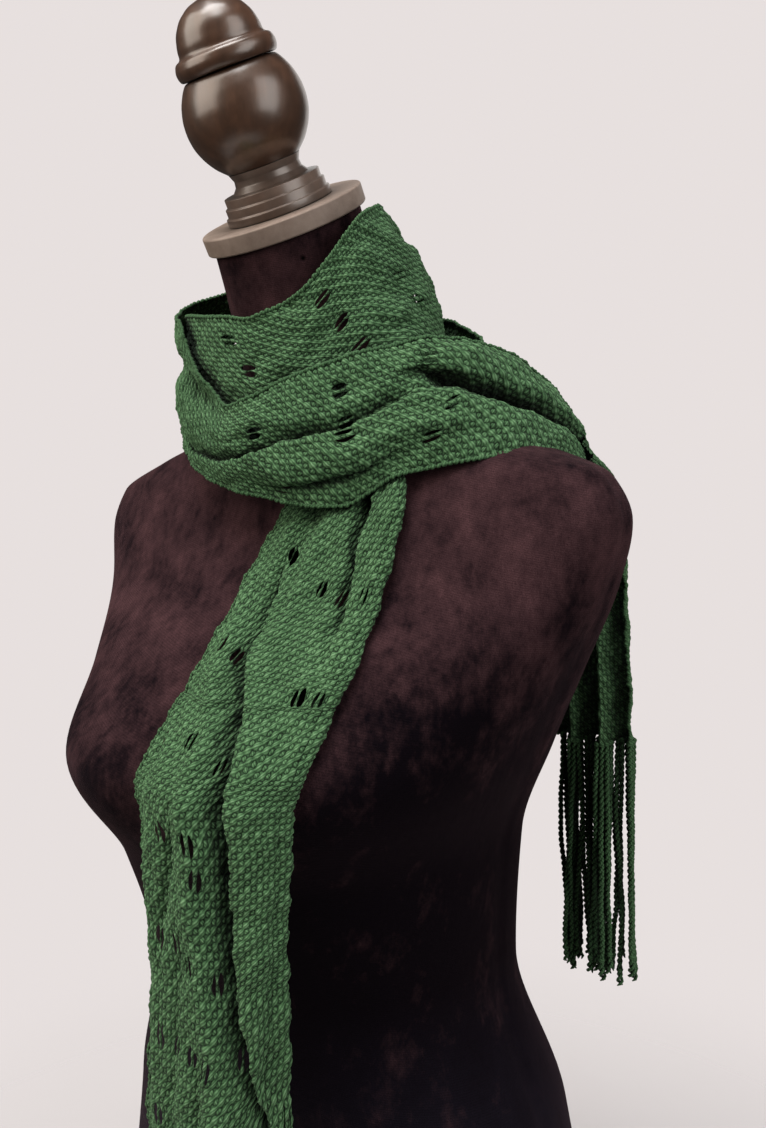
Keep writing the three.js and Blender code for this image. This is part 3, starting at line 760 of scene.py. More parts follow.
def turned(name, profile, material, y=0.0, z=0.0, lean=0.0, sides=96, soft=0.6):
    """Turned wood about an axis that leans forward."""
    profile = softened(profile, soft)
    ang = np.linspace(0, 2 * np.pi, sides, endpoint=False)
    c, s = math.cos(math.radians(lean)), math.sin(math.radians(lean))

    def placed(x, deep, high):
        return np.stack([x, y + deep * c - high * s, z + deep * s + high * c], -1)

    rings = np.array([placed(r * np.cos(ang), r * np.sin(ang), np.full(sides, h))
                      for r, h in profile[1:-1]])
    ends = [placed(0.0, 0.0, profile[i][1]) for i in (0, -1)]
    return mesh_piece(name, *closed_rings(rings, ends), material=material)


# ---- materials -----------------------------------------------------------------------------
class Nodes:
    """A small helper that lays out a material's nodes and links."""

    def __init__(self, name):
        self.material = bpy.data.materials.new(name)
        self.material.use_nodes = True
        self.tree = self.material.node_tree
        self.tree.nodes.clear()
        self.shader = self.node("BsdfPrincipled")
        self.surface = self.node("OutputMaterial", {0: self.shader.outputs[0]}).inputs[0]

    def node(self, kind, inputs=(), **settings):
        """A new node with its settings, and with values or links for some of its inputs."""
        n = self.tree.nodes.new("ShaderNode" + kind)
        for k, v in settings.items():
            setattr(n, k, v)
        for k, v in dict(inputs).items():
            self.put(n.inputs[k], v)
        return n

    def put(self, socket, value):
        if isinstance(value, bpy.types.NodeSocket):
            self.tree.links.new(value, socket)
        else:
            socket.default_value = value

    def math(self, kind, a, b=0.0, c=0.0):
        return self.node("Math", {0: a, 1: b, 2: c}, operation=kind).outputs[0]

    def scaled(self, a, by, plus=0.0):
        return self.math("MULTIPLY_ADD", a, by, plus)

    def within(self, a, low, high):
        return self.math("MINIMUM", self.math("MAXIMUM", a, low), high)

    def noise(self, vector, scale, detail=2.0, rough=0.5, output="Fac"):
        return self.node("TexNoise", {"Vector": vector, "Scale": scale, "Detail": detail,
                                      "Roughness": rough}).outputs[output]

    def place(self):
        return self.node("TexCoord").outputs["Object"]

    def cloth(self):
        return self.node("UVMap", uv_map="cloth").outputs[0]

    def parts(self, vector):
        return self.node("SeparateXYZ", {0: vector}).outputs

    def ramp(self, fac, stops):
        n = self.node("ValToRGB", {"Fac": fac})
        while len(n.color_ramp.elements) < len(stops):
            n.color_ramp.elements.new(0.5)
        for e, (p, c) in zip(n.color_ramp.elements, stops):
            e.position = p
            e.color = (*c, 1) if hasattr(c, "__len__") else (c, c, c, 1)
        return n.outputs["Color"]

    def mix(self, fac, a, b, blend="MIX"):
        n = self.node("Mix", data_type="RGBA", blend_type=blend)
        for i, value in ((0, fac), (6, a), (7, b)):
            self.put(n.inputs[i], value)
        return n.outputs[2]

    def bump(self, height, distance, strength=1.0):
        return self.node("Bump", {"Strength": strength, "Distance": distance,
                                  "Height": height}).outputs[0]

    def sheltered(self, colour, distance, stops):
        """The colour darkened by painted shade where the surface lies sheltered in folds and
        grooves.
        """
        n = self.node("AmbientOcclusion", {"Distance": distance}, samples=6)
        return self.mix(1.0, colour, self.ramp(n.outputs["AO"], stops), "MULTIPLY")

    def set(self, **values):
        for k, v in values.items():
            self.put(self.shader.inputs[k.replace("_", " ")], v)


def shade(colour, k):
    k = k if hasattr(k, "__len__") else (k, k, k)
    return tuple(c * f for c, f in zip(colour, k))


def dressed_wool(m, green, tone, height, relief):
    """Deep green in the gaps to pale grey-green on the crowns of the yarn, as painted shade and
    painted highlight, with a soft sheen.
    """
    colour = m.ramp(tone, [(0.0, shade(green, (0.06, 0.11, 0.08))), (0.25, shade(green, 0.3)),
                           (0.45, shade(green, 1.05)), (0.7, shade(green, (2.4, 2.1, 2.3))),
                           (0.95, shade(green, (5.2, 3.8, 5.0)))])
    # painted shade in the folds and grooves of the cloth
    colour = m.sheltered(colour, 0.026, [(0.2, 0.04), (0.45, 0.24), (0.7, 0.85), (0.84, 1.0)])
    m.set(Base_Color=colour, Normal=m.bump(height, relief, 0.8), Roughness=0.9,
          Sheen_Weight=0.10, Sheen_Roughness=0.5, Sheen_Tint=(0.6, 0.75, 0.55, 1),
          Specular_IOR_Level=0.2)
    return m.material


def woven_wool(scarf):
    """Plain weave of plied wool: large warp floats, small weft dots, each with slanting plies,
    painted darker in the gaps and lighter on the crowns.
    """
    m = Nodes("woven_wool")
    thread = m.cloth()
    # the threads wander, and their mean shift is taken off again
    wobble = m.noise(thread, 1.6, 3.0, output="Color")
    move = m.node("VectorMath", {0: wobble, 1: (0.36, 0.3, 0.0), 2: thread},
                  operation="MULTIPLY_ADD")
    moved = m.parts(move.outputs[0])
    u, v = m.math("SUBTRACT", moved[0], 0.18), m.math("SUBTRACT", moved[1], 0.15)
    leaning, upright = (m.math("COSINE", m.math("MULTIPLY", m.math(kind, u, v), math.pi))
                        for kind in ("SUBTRACT", "ADD"))
    cross = m.scaled(leaning, 0.5 * (1 + SLANT), m.math("MULTIPLY", upright, -0.5 * (1 - SLANT)))
    warp, weft = (m.math("POWER", m.math("MAXIMUM", m.scaled(
        cross, sign / (1 + reach), reach / (1 + reach)), 0.0), 0.4)
        for sign, reach in ((1, WARP_REACH), (-1, WEFT_REACH)))
    weft = m.math("MULTIPLY", weft, 0.92)
    lift = m.math("MAXIMUM", warp, weft)
    on_top = m.math("GREATER_THAN", warp, weft)
    under = m.math("SUBTRACT", 1.0, on_top)
    # the plies slant across a float, the other way on the weft
    pu = m.math("MULTIPLY", u, 2 * math.pi * 0.70 * scarf.warp_pitch / scarf.ply_twist)
    pv = m.math("MULTIPLY", v, 2 * math.pi * 0.71 * scarf.weft_pitch / scarf.ply_twist)
    one_way, other_way = (m.math("SINE", m.math(kind, pu, pv)) for kind in ("SUBTRACT", "ADD"))
    ply = m.math("ADD", m.math("MULTIPLY", one_way, on_top), m.math("MULTIPLY", other_way, under))
    ply = m.math("MULTIPLY", ply, lift)
    hair = m.noise(thread, 8.0, 5.0, 0.72)
    slow = m.noise(thread, 0.11, 2.0, 0.5)
    crossing = m.node("CombineXYZ", {0: m.math("FLOOR", u), 1: m.math("FLOOR", v)}).outputs[0]
    cell = m.node("TexWhiteNoise", {"Vector": crossing}, noise_dimensions="2D").outputs["Value"]
    # the tone follows the height of the floats and plies, as painted shade in the gaps and painted
    # highlight on the crowns and plies; hair, each crossing and slow unevenness add random tone
    tone = m.scaled(lift, 0.62, -0.31)
    for part, weight in ((ply, 0.17), (hair, 0.5), (cell, 0.14), (slow, 0.14)):
        tone = m.scaled(part, weight, tone)
    height = m.scaled(hair, 0.35, m.scaled(ply, 0.16, lift))
    return dressed_wool(m, tuple(scarf.wool_colour), tone, height, 0.0008)


def plied_wool(scarf):
    """The same wool where it is twisted into cords and selvedges."""
    m = Nodes("plied_wool")
    thread = m.cloth()
    gone = m.parts(thread)
    stripe = m.math("SINE", m.math("ADD", m.math("MULTIPLY", gone[0], math.pi),
                                   m.math("MULTIPLY", gone[1], 3.6)))
    hair = m.noise(thread, 2.2, 4.0, 0.7)
    tone = m.scaled(stripe, 0.12, m.scaled(hair, 0.55, 0.2))
    height = m.scaled(hair, 0.6, m.math("MULTIPLY", stripe, 0.4))
    return dressed_wool(m, tuple(scarf.wool_colour), tone, height, 0.0003)


# Where the velvet is pinned to the neck, m.
PIN_MARKS = ((-0.0437, -0.0456, 0.8622), (0.0328, -0.0615, 0.8583))
PIN_COLOUR = (0.002, 0.001, 0.001, 1)
TWILL_PITCH = 0.0012


def brushed_velvet(form):
    """Short dark nap, raised lighter in soft patches, with painted light on the chest and shoulders
    and painted shade below and on its own left side, over a fine twill backing.
    """
    m = Nodes("brushed_velvet")
    dark, light = tuple(form.velvet_colour), tuple(form.nap_colour)
    place = m.place()
    x, _, z = m.parts(place)
    strokes = m.node("Mapping", {"Vector": place, "Rotation": (0, math.radians(18), 0),
                                 "Scale": (1.2, 1.2, 0.8)}).outputs[0]
    # painted light and shade: more of the lighter raised-nap colour higher up on the chest and
    # shoulders, and the flat dark colour below and on the form's own left side
    own_left = m.math("MAXIMUM", m.math("SUBTRACT", x, 0.03), 0.0)
    high = m.within(m.scaled(own_left, -0.9, m.scaled(z, 2.6, -1.70)), -0.38, -0.04)
    big = m.noise(strokes, 28.0, 6.0, 0.66)
    small = m.noise(strokes, 120.0, 7.0, 0.72)
    nap_and_light = m.scaled(small, 0.5, m.scaled(big, 0.98, high))
    nap_and_light_share = m.ramp(nap_and_light, [(0.42, 0.0), (0.52, 0.13), (0.66, 0.45), (0.9, 0.95)])
    nap = m.noise(place, 1900.0, 2.0, 0.7)
    slanted = m.math("ADD", z, m.math("MULTIPLY", x, 0.25))
    rib = m.math("SINE", m.math("MULTIPLY", slanted, 2 * math.pi / TWILL_PITCH))
    # below the waist the flat colour turns greyer in patches, more so towards the bottom
    hip = m.math("MULTIPLY", m.within(m.scaled(z, -7.0, 3.1), 0.0, 1.0), big)
    flat_nap = m.mix(hip, (*dark, 1), (*shade(dark, (6.0, 9.0, 8.0)), 1))
    colour = m.mix(nap_and_light_share, flat_nap, (*light, 1))
    fleck = m.scaled(nap, 0.9, m.scaled(rib, 0.05, 0.1))
    pins = 0.0
    for mark in PIN_MARKS:
        gap = m.node("VectorMath", {0: place, 1: mark}, operation="DISTANCE").outputs["Value"]
        pins = m.math("ADD", m.within(m.scaled(gap, -550.0, 1.3), 0.0, 1.0), pins)
    colour = m.mix(1.0, m.mix(pins, colour, PIN_COLOUR),
                   m.ramp(fleck, [(0.3, 0.35), (0.8, 1.25)]), "MULTIPLY")
    height = m.scaled(pins, -3.0, m.scaled(rib, 0.08, m.scaled(small, 1.5, nap)))
    m.set(Base_Color=colour, Roughness=0.95, Normal=m.bump(height, 0.0006, 0.5),
          Sheen_Weight=0.08, Sheen_Roughness=0.35, Sheen_Tint=(0.85, 0.5, 0.55, 1),
          Specular_IOR_Level=0.05)
    return m.material


RUBBED_WOOD = (0.38, 0.29, 0.235, 1)
# How rough and how rubbed pale each wood is, and whether it is varnished.
WOODS = {
    "matt_stained_wood": (0.5, 0.75, False), "waxed_wood": (0.33, 0.3, True),
    "satin_stained_wood": (0.3, 0.0, True),
}


def stained_wood(form, name):
    """Dark stained wood with a faint grain along the turning, rubbed paler in places."""
    m = Nodes(name)
    rough, pale, varnished = WOODS[name]
    brown = tuple(form.wood_colour)
    place = m.place()
    stretch = m.node("Mapping", {"Vector": place, "Rotation": (math.radians(-NECK_LEAN), 0, 0),
                                 "Scale": (1, 1, 0.12)}).outputs[0]
    grain = m.noise(stretch, 160.0, 5.0, 0.6)
    blotch = m.noise(place, 22.0, 3.0)
    worn = m.noise(place, 55.0, 5.0, 0.7)
    tone = m.scaled(grain, 0.6, m.math("MULTIPLY", blotch, 0.5))
    tone = m.scaled(worn, 0.5, m.math("SUBTRACT", tone, 0.25))
    colour = m.ramp(tone, [(0.3, shade(brown, 0.45)), (0.55, shade(brown, 1.0)),
                           (0.8, shade(brown, 1.7))])
    rubbed = m.math("MINIMUM", m.scaled(worn, 1.6 * pale, 0.2 * pale), 1.0)
    # painted shade in the crevices between the rings and in other hollows of the turnings
    colour = m.sheltered(m.mix(rubbed, colour, RUBBED_WOOD), 0.02,
                         [(0.2, 0.1), (0.6, 0.5), (0.9, 1.0)])
    m.set(Base_Color=colour, Roughness=m.scaled(worn, 0.2, rough - 0.06),
          Normal=m.bump(grain, 0.0003, 0.25), Coat_Weight=0.6 if varnished else 0.0,
          Coat_Roughness=0.22, Specular_IOR_Level=1.0 if varnished else 0.4,
          Specular_Tint=(1, 0.86, 0.74, 1))
    return m.material


def finish(name, make, *args):
    return bpy.data.materials.get(name) or make(*args)


def wool_finish(scarf, make):
    return finish(make.__name__, make, scarf)


def wood_finish(form, name):
    return finish(name, stained_wood, form, name)


# ---- settings ------------------------------------------------------------------------------
def a_length(name, text, default, unit="LENGTH"):
    return FloatProperty(name=name, description=text, default=default, unit=unit)


def a_colour(name, text, default):
    return FloatVectorProperty(name=name, description=text, default=default, subtype="COLOR")


def a_power(name, text, default):
    return a_length(name, "Power of " + text, default, "POWER")


class ScarfSettings(PropertyGroup):
    warp_pitch: a_length("Warp pitch", "Distance between warp yarns", 0.0030)
    weft_pitch: a_length("Weft pitch", "Distance between weft yarns", 0.0038)
    yarn_height: a_length("Yarn height", "Relief of the yarn in the weave", 0.0010)
    medallion_length: a_length("Medallion length", "Length of a slit", 0.0115)
    slit_width: a_length("Slit width", "Widest opening of a slit", 0.0027)
    bunched: FloatProperty(name="Bunched", description="How far a hanging tail draws in its warp",
                           default=0.85, min=0.6, max=1)
    ply_twist: a_length("Ply twist", "Distance between plies on a float", 0.00135)
    front_fringe: a_length("Front fringe", "Reach of the front fringe", 0.152)
    back_fringe: a_length("Back fringe", "Reach of the back fringe", 0.166)
    cord_count: IntProperty(name="Cords", description="Fringe cords at each end", default=34)
    wool_colour: a_colour("Wool", "Colour of the wool", (0.045, 0.105, 0.041))
    seed: IntProperty(name="Seed", description="Seed of the weave's unevenness", default=11)


class FormSettings(PropertyGroup):
    velvet_colour: a_colour("Velvet", "Colour of the flat nap", (0.0040, 0.0022, 0.0040))
    # the lighter colour of the raised nap, which also carries the painted light on the chest and
    # shoulders
    nap_colour: a_colour("Stroked nap", "Colour of the raised nap", (0.094, 0.043, 0.046))
    wood_colour: a_colour("Wood", "Colour of the stained wood", (0.078, 0.035, 0.019))


class StudioSettings(PropertyGroup):
    wall_colour: a_colour("Wall", "Colour of the room", (0.80, 0.745, 0.735))
    lens: a_length("Lens", "Focal length", 29.23, "CAMERA")
    key_power: a_power("Key light", "the window", 69.0)
    top_power: a_power("Top light", "the ceiling light", 68.0)
    side_power: a_power("Side light", "the side lamp", 44.0)
    back_power: a_power("Back light", "the back lamp", 11.0)
    room_light: FloatProperty(name="Room light", description="Even light of the room",
                              default=0.05)


# ---- the scarf -----------------------------------------------------------------------------
def ride_and_replace(piece, slot, *nodes):
    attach(piece, "root")
    if nodes:
        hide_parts(*nodes)
    return piece


def loop(rows, folds, weft, seen=()):
    return (loop_surface(rows, folds), loop_rises(rows, weft), dict(seen), round_and_height,
            loop_rows(rows, weft), away_from_neck, "draped")


# Each stretch's surface, the lead of its weft, its listed medallions, how these are placed, the
# rows of the others, the side that shows and how it is held.
STRETCHES = {
    "front_tail": (front_tail_surface, tail_rises, TAIL_LACE, side_and_height,
                   lace_rows(section(FRONT_TAIL, SHARES)["z"], TAIL_WEFT, "z", -1),
                   forward, "hung"),
    "first_pass": loop(FIRST_PASS, PASS_FOLDS, PASS_WEFT),
    "neck_band": loop(NECK_BAND, BAND_FOLDS, BAND_WEFT, BAND_LACE),
    "second_turn": loop(SECOND_TURN, TURN_FOLDS, TURN_WEFT, TURN_LACE),
    "back_tail": (back_tail_surface, flat_rises, {}, side_and_height,
                  lace_rows(SHARES, BACK_WEFT, "share"), backward, "hung"),
}
WOVEN = {}


def weave_stretch(context, name):
    surface, rises, seen, coordinates, rows, outward, held = STRETCHES[name]
    scarf = context.scene.scarf_settings
    rng = np.random.default_rng(scarf.seed + len(WOVEN))
    bunched = scarf.bunched if held == "hung" else 1.0
    w = weave(surface, rises, place_lace(seen, coordinates, rows), outward, scarf, rng, bunched)
    piece = mesh_piece("lace_" + name, w["points"], w["faces"], w["cloth"],
                       wool_finish(scarf, woven_wool))
    ride_and_replace(piece, "lace_cloth", "scarf_" + name)
    WOVEN[name] = [piece, w, held]
    return {"FINISHED"}


class SCARF_OT_front_tail(Operator):
    """Weave the tail that hangs over the bust"""
    bl_idname = "scarf.front_tail"
    bl_label = "Front tail"

    def execute(self, context):
        return weave_stretch(context, "front_tail")


class SCARF_OT_first_pass(Operator):
    """Weave the pass that goes loosely round behind the neck"""
    bl_idname = "scarf.first_pass"
    bl_label = "First pass"

    def execute(self, context):
        return weave_stretch(context, "first_pass")


class SCARF_OT_neck_band(Operator):
    """Weave the high collar round the throat"""
    bl_idname = "scarf.neck_band"
    bl_label = "Neck band"

    def execute(self, context):
        return weave_stretch(context, "neck_band")


class SCARF_OT_second_turn(Operator):
    """Weave the turn that comes low across the chest to the shoulder"""
    bl_idname = "scarf.second_turn"
    bl_label = "Second turn"

    def execute(self, context):
        return weave_stretch(context, "second_turn")


class SCARF_OT_back_tail(Operator):
    """Weave the pleated tail that hangs behind the shoulder"""
    bl_idname = "scarf.back_tail"
    bl_label = "Back tail"

    def execute(self, context):
        return weave_stretch(context, "back_tail")


# The selvedge, mm: the step along it, its radius where it is thin, and its beads' extra radius.
SELVEDGE_STEP, SELVEDGE_RADIUS, BEAD = 0.95, 0.8, 0.55


class SCARF_OT_selvedges(Operator):
    """Bind both edges of every stretch where the weft turns back"""
    bl_idname = "scarf.selvedges"
    bl_label = "Selvedges"

    def execute(self, context):
        wool = wool_finish(context.scene.scarf_settings, plied_wool)
        for name, stretch in WOVEN.items():
            w, parts = stretch[1], []
            for edge in w["edges"]:
                gone = travelled(edge)
                s = np.arange(0, gone[-1], SELVEDGE_STEP)
                r = SELVEDGE_RADIUS + BEAD * np.abs(np.sin(np.pi * s / w["weft_pitch"]))
                parts.append(tube(along_path(edge, gone, s), r, 6))
            piece = mesh_piece("selvedge_" + name, *gather(parts), wool)
            stretch.append(ride_and_replace(piece, "lace_cloth"))
        return {"FINISHED"}


# The fringe's cords, mm: the distance of each strand from the middle, its radius, and its lay.
CORD_CORE, STRAND_RADIUS, CORD_LAY = 1.0, 1.12, 8.6
CORD_STEP = 1.5
SWAY, BEND, CURL = 3.2, 1.5, 0.7
# Below the lower knot the strands spread apart by this much over the last share of the length.
SPLAY, SPLAY_SHARE = 1.2, 0.05
# Where the knots lie on a cord, as shares of its length, their size and half their height.
KNOTS = ((0.0, 2.2), (0.94, 2.4))
KNOT_HALF = 1.9
KNOT_RISE = np.linspace(1, -1, 7)


def fringe_cords(context, name, hem, reach, seed):
    """Twisted cords that hang from a hem, knotted near their ends."""
    scarf = context.scene.scarf_settings
    rng = np.random.default_rng(scarf.seed + seed)
    gone = travelled(hem)
    parts = []
    n = scarf.cord_count
    for i in range(n):
        start = along_path(hem, gone, gone[-1] * (i + 0.5) / n)
        length = reach * rng.uniform(0.92, 1.05)
        t = np.arange(0, length, CORD_STEP)
        share = t / length
        sway = rng.normal(0, SWAY, 2)
        bend = rng.normal(0, BEND, 2)
        curl = CURL * share ** 0.5 * np.sin(t / rng.uniform(5, 8) + rng.uniform(0, 6))
        path = start + np.stack([
            sway[0] * share + bend[0] * np.sin(share * 7 + i) + curl,
            sway[1] * share + bend[1] * np.sin(share * 6 + 2 * i) - curl, -t], -1)
        spread = 1 + SPLAY * np.clip((share - 1 + SPLAY_SHARE) / SPLAY_SHARE, 0, 1)
        parts += plied(path, CORD_CORE, STRAND_RADIUS, CORD_LAY, 6, rng.uniform(0, 6), spread)
        for at, size in KNOTS:
            ball = path[int(at * (len(path) - 1))] + KNOT_RISE[:, None] * (0, 0, KNOT_HALF)
            parts.append(tube(ball, size * np.sqrt(np.maximum(0.06, 1 - KNOT_RISE ** 2)), 8))
    return mesh_piece(name, *gather(parts), wool_finish(scarf, plied_wool))


class SCARF_OT_fringes(Operator):
    """Twist the fringes of both ends"""
    bl_idname = "scarf.fringes"
    bl_label = "Fringes"

    def execute(self, context):
        scarf = context.scene.scarf_settings
        for end, reach, seed in (("front", scarf.front_fringe, 50), ("back", scarf.back_fringe, 60)):
            tail = WOVEN[end + "_tail"]
            piece = fringe_cords(context, "twisted_fringe_" + end, tail[1]["hem"], reach / MM, seed)
            tail.append(ride_and_replace(piece, "fringe_cord", "fringe_" + end))
        return {"FINISHED"}


# ---- the form ------------------------------------------------------------------------------
SEAM_WIDTH, SEAM_DEPTH = 1.6, 0.9


class FORM_OT_torso(Operator):
    """Cover the torso with velvet"""
    bl_idname = "form.torso"
    bl_label = "Torso"

    def execute(self, context):
        form = context.scene.form_settings
        z = np.concatenate([np.linspace(TORSO_FOOT, -240, 12), np.linspace(-238, 288, 150),
                            np.linspace(290, TORSO_TOP, 90)])
        turn = np.arange(192) * 360 / 192
        # the covering is fuller on the neck than on the torso
        proud = NECK_NAP * ease((z[:, None] - 395) / 30)
        rings = torso_point(z[:, None], turn[None, :], proud)
        # and its side seams sink a little
        seam = sum(bell((turn - at) / SEAM_WIDTH) for at in (0, 360, 180))
        centre = np.stack([0 * z, TORSO_AT["y"](z), WAIST + z], -1)[:, None]
        rings = rings + unit(centre - rings) * (SEAM_DEPTH * seam)[None, :, None]
        ends = [[0, 0, WAIST + TORSO_FOOT], [0, TORSO_AT["y"](TORSO_TOP), WAIST + TORSO_TOP]]
        piece = mesh_piece("form_velvet", *closed_rings(rings, ends), material=finish(
            "brushed_velvet", brushed_velvet, form))
        ride_and_replace(piece, "velvet", "form_torso")
        return {"FINISHED"}


DISC_PROFILE = [(0, -DISC_HALF), (50.3, -DISC_HALF), (51, -4.8), (51, 4.8), (50.3, DISC_HALF),
                (0, DISC_HALF)]
STEM_PROFILE = [(0, 5.8), (33, 5.8), (33, 10), (31.5, 10.6), (31.5, 15.4), (30, 16), (30, 21),
                (24, 21.6), (21, 25), (20.5, 28.5), (22.2, 32.4), (22.4, 32.7), (0, 32.7)]
EGG_PROFILE = [(0, 33), (22.5, 33), (22.8, 33.3), (28, 38), (32.5, 44.5), (35.6, 51.5),
               (36.8, 59), (36.3, 67), (33.8, 75), (30, 81.5), (27, 85), (0, 85)]
CAP_PROFILE = [(0, 85.3), (28.5, 85.3), (29.8, 88), (30, 91), (28.6, 95), (25, 96.4), (24.7, 101),
               (22.6, 108), (18, 114.3), (11, 119), (4, 120.8), (0, 121)]
BASE_PROFILE = [(0, 0), (BASE_RADIUS - 4, 0), (BASE_RADIUS, 4), (BASE_RADIUS, 14),
                (BASE_RADIUS - 6, 20), (60, BASE_HEIGHT - 2), (40, BASE_HEIGHT), (0, BASE_HEIGHT)]
COLUMN_PROFILE = [(0, 26.3), (34, 26.3), (34, 32), (26, 37), (20, 46), (19, 70), (24, 96),
                  (20, 122), (26, 150), (40, 160), (40, 167.7), (0, 167.7)]


def turn_piece(context, name, node, profile, wood, slot, **shape):
    wood = wood_finish(context.scene.form_settings, wood)
    ride_and_replace(turned(name, profile, wood, **shape), slot, node)


class FORM_OT_neck_cap(Operator):
    """Turn the neck cap and the finial"""
    bl_idname = "form.neck_cap"
    bl_label = "Neck cap and finial"

    def execute(self, context):
        lean = {"y": NECK_TOP[0], "z": WAIST + NECK_TOP[1], "lean": NECK_LEAN}
        for name, node, profile, wood, slot, soft in (
                ("turned_neck_cap", "neck_disc", DISC_PROFILE, "matt_stained_wood",
                 "wood_matt", 0.4),
                ("turned_stem", "finial_stem", STEM_PROFILE, "waxed_wood", "wood_matt", 0.3),
                ("turned_egg", "finial_egg", EGG_PROFILE, "satin_stained_wood", "wood", 6.0),
                ("turned_tip", "finial_cap", CAP_PROFILE, "satin_stained_wood", "wood", 2.5)):
            turn_piece(context, name, node, profile, wood, slot, soft=soft, **lean)
        return {"FINISHED"}


class FORM_OT_stand(Operator):
    """Turn the column and the base"""
    bl_idname = "form.stand"
    bl_label = "Column and base"

    def execute(self, context):
        for name, node, profile, soft, sides in (
                ("turned_column", "column", COLUMN_PROFILE, 5, 96),
                ("turned_base", "base", BASE_PROFILE, 2, 128)):
            turn_piece(context, name, node, profile, "satin_stained_wood", "wood", soft=soft,
                       sides=sides)
        return {"FINISHED"}


# ---- the stage -----------------------------------------------------------------------------
# The camera, m and degrees: where it stands, and how it turns, nods and tips.
CAMERA_PLACE = (0.3791, -0.4733, 0.7230)
CAMERA_TURN, CAMERA_NOD, CAMERA_TIP = 35.6, -4.4, -1.3
LAMPS_AIM = (0, 0, 0.8)
FLOOR_RADIUS = 4000


def set_pose(holder, x, y, z, place):
    holder.matrix_world = Matrix([[x[i], y[i], z[i], place[i]] for i in range(3)] + [[0, 0, 0, 1]])


def place_camera(scene, focal):
    turn, nod, tip = (math.radians(d) for d in (CAMERA_TURN, CAMERA_NOD, CAMERA_TIP))
    back = np.array([math.sin(turn) * math.cos(nod), -math.cos(turn) * math.cos(nod),
                     -math.sin(nod)])
    right = np.array([math.cos(turn), math.sin(turn), 0])
    up = np.cross(back, right)
    lens = bpy.data.cameras.new("view")
    lens.sensor_fit = "AUTO"
    lens.sensor_width = 36
    lens.lens = focal
    lens.clip_start = 0.02
    camera = bpy.data.objects.new("view", lens)
    scene.collection.objects.link(camera)
    set_pose(camera, math.cos(tip) * right + math.sin(tip) * up,
             -math.sin(tip) * right + math.cos(tip) * up, back, CAMERA_PLACE)
    scene.camera = camera


def lay_floor(wall):
    """A pale floor that fades into the wall with the distance from the object."""
    m = Nodes("pale_floor")
    spot = m.noise(m.place(), 3.0, 4.0)
    m.set(Base_Color=m.ramp(spot, [(0.3, shade(wall, 0.96)), (0.7, shade(wall, 1.02))]),
          Roughness=0.9)
    far = m.node("VectorMath", {0: m.place()}, operation="LENGTH").outputs["Value"]
    fade = m.math("SMOOTH_MIN", m.math("MAXIMUM", m.scaled(far, 2.2, -0.75), 0.0), 1.0, 0.3)
    clear = m.node("BsdfTransparent").outputs[0]
    m.put(m.surface, m.node("MixShader", {0: fade, 1: m.shader.outputs[0], 2: clear}).outputs[0])
    ring = [[FLOOR_RADIUS * math.cos(a), FLOOR_RADIUS * math.sin(a), 0]
            for a in np.linspace(0, 2 * math.pi, 64, endpoint=False)]
    mesh_piece("floor", ring, [tuple(range(64))], material=m.material)


def light_room(scene, wall, strength):
    """The wall as the camera sees it, and an even light of its own strength on the object."""
    world = bpy.data.worlds.new("room")
    scene.world = world
    world.use_nodes = True
    tree = world.node_tree
    seen, sky = tree.nodes["Background"], tree.nodes.new("ShaderNodeBackground")
    for node, hue, power in ((seen, wall, 1.0), (sky, (1.0, 0.97, 0.94), strength)):
        node.inputs[0].default_value = (*hue, 1)
        node.inputs[1].default_value = power
    path, pick = tree.nodes.new("ShaderNodeLightPath"), tree.nodes.new("ShaderNodeMixShader")
    tree.links.new(path.outputs["Is Camera Ray"], pick.inputs[0])
    tree.links.new(sky.outputs[0], pick.inputs[1])
    tree.links.new(seen.outputs[0], pick.inputs[2])
    tree.links.new(pick.outputs[0], tree.nodes["World Output"].inputs[0])


def hang_lamp(scene, name, where, size, power, colour):
    lamp = bpy.data.lights.new(name, "AREA")
    lamp.shape, lamp.energy, lamp.color = "RECTANGLE", power, colour
    lamp.size, lamp.size_y = size
    holder = bpy.data.objects.new(name, lamp)
    holder.visible_camera = False
    scene.collection.objects.link(holder)
    d = unit(np.array(where) - np.array(LAMPS_AIM))
    x = unit(np.cross(np.array([0, 0, 1.0]), d))
    set_pose(holder, x, np.cross(d, x), d, where)


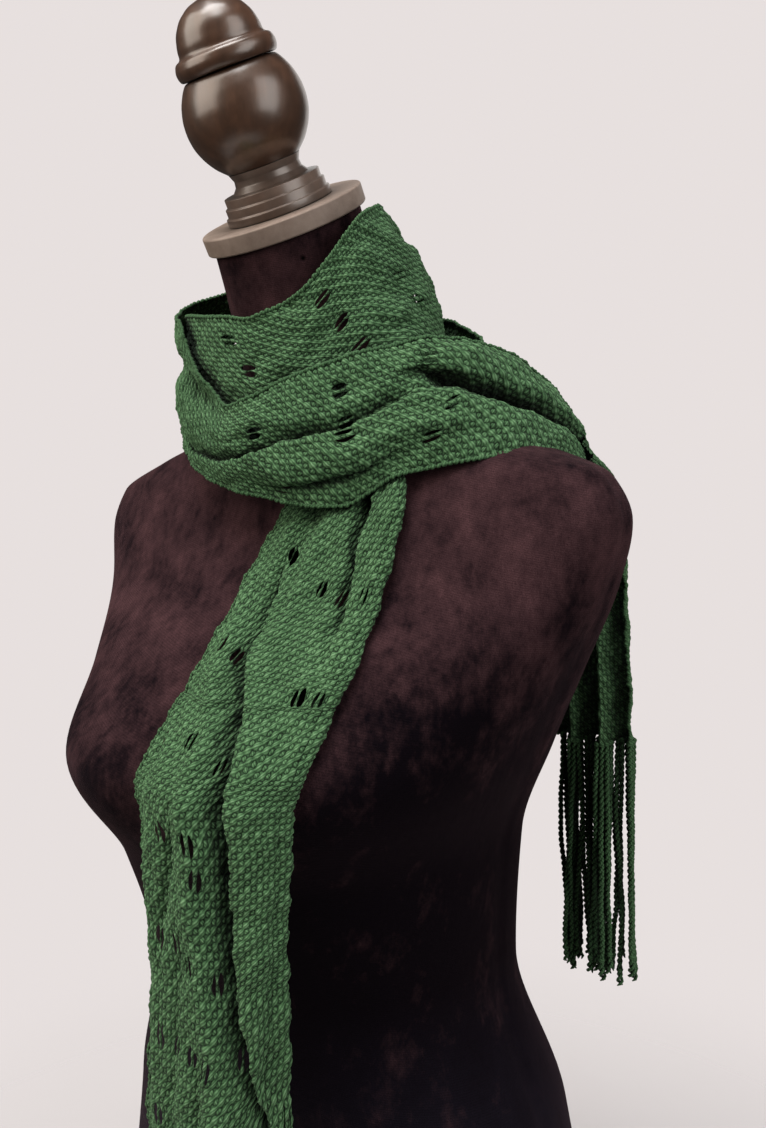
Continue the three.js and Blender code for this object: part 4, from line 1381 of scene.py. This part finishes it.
class STUDIO_OT_stage(Operator):
    """Place the floor, the light and the camera"""
    bl_idname = "studio.stage"
    bl_label = "Stage"

    def execute(self, context):
        studio = context.scene.studio_settings
        scene = context.scene
        place_camera(scene, studio.lens)
        lay_floor(studio.wall_colour)
        light_room(scene, studio.wall_colour, studio.room_light)
        for name, where, size, power, colour in (
                ("window", (-1.25, -2.16, 2.1), (2.4, 3.0), studio.key_power, (1, 0.96, 0.90)),
                ("ceiling", (0.2, -1.14, 3.36), (1.6, 1.6), studio.top_power, (0.94, 0.97, 1)),
                ("lamp", (2.58, -0.4, 1.6), (1.8, 2.8), studio.side_power, (0.97, 0.98, 1)),
                ("back_fill", (-0.9, 2.4, 1.9), (2.0, 2.0), studio.back_power, (1, 0.97, 0.94))):
            hang_lamp(scene, name, where, size, power, colour)
        scene.view_settings.view_transform = "Standard"
        return {"FINISHED"}


# ---- the add-on ----------------------------------------------------------------------------
class SCARF_PT_pieces(Panel):
    """Lists the pieces of the scarf and its form"""
    bl_label = "Scarf on a form"
    bl_idname = "SCARF_PT_pieces"
    bl_space_type = "VIEW_3D"
    bl_region_type = "UI"
    bl_category = "Scarf"

    def draw(self, context):
        for group in SETTINGS:
            settings = getattr(context.scene, group)
            box = self.layout.box()
            for prop in settings.bl_rna.properties:
                if prop.identifier not in ("rna_type", "name"):
                    box.prop(settings, prop.identifier)
        for step in STEPS:
            self.layout.operator(step.bl_idname)


SETTINGS = {"scarf_settings": ScarfSettings, "form_settings": FormSettings,
            "studio_settings": StudioSettings}
STEPS = (STUDIO_OT_stage, FORM_OT_torso, FORM_OT_neck_cap, FORM_OT_stand, SCARF_OT_front_tail,
         SCARF_OT_first_pass, SCARF_OT_neck_band, SCARF_OT_second_turn, SCARF_OT_back_tail,
         SCARF_OT_selvedges, SCARF_OT_fringes)
CLASSES = (*SETTINGS.values(), *STEPS, SCARF_PT_pieces)


def register():
    for c in CLASSES:
        bpy.utils.register_class(c)
    for name, group in SETTINGS.items():
        setattr(bpy.types.Scene, name, PointerProperty(type=group))


def unregister():
    for name in SETTINGS:
        delattr(bpy.types.Scene, name)
    for c in reversed(CLASSES):
        bpy.utils.unregister_class(c)


def main():
    register()
    for step in STEPS:
        group, name = step.bl_idname.split(".")
        getattr(getattr(bpy.ops, group), name)()


if __name__ == "__main__":
    main()
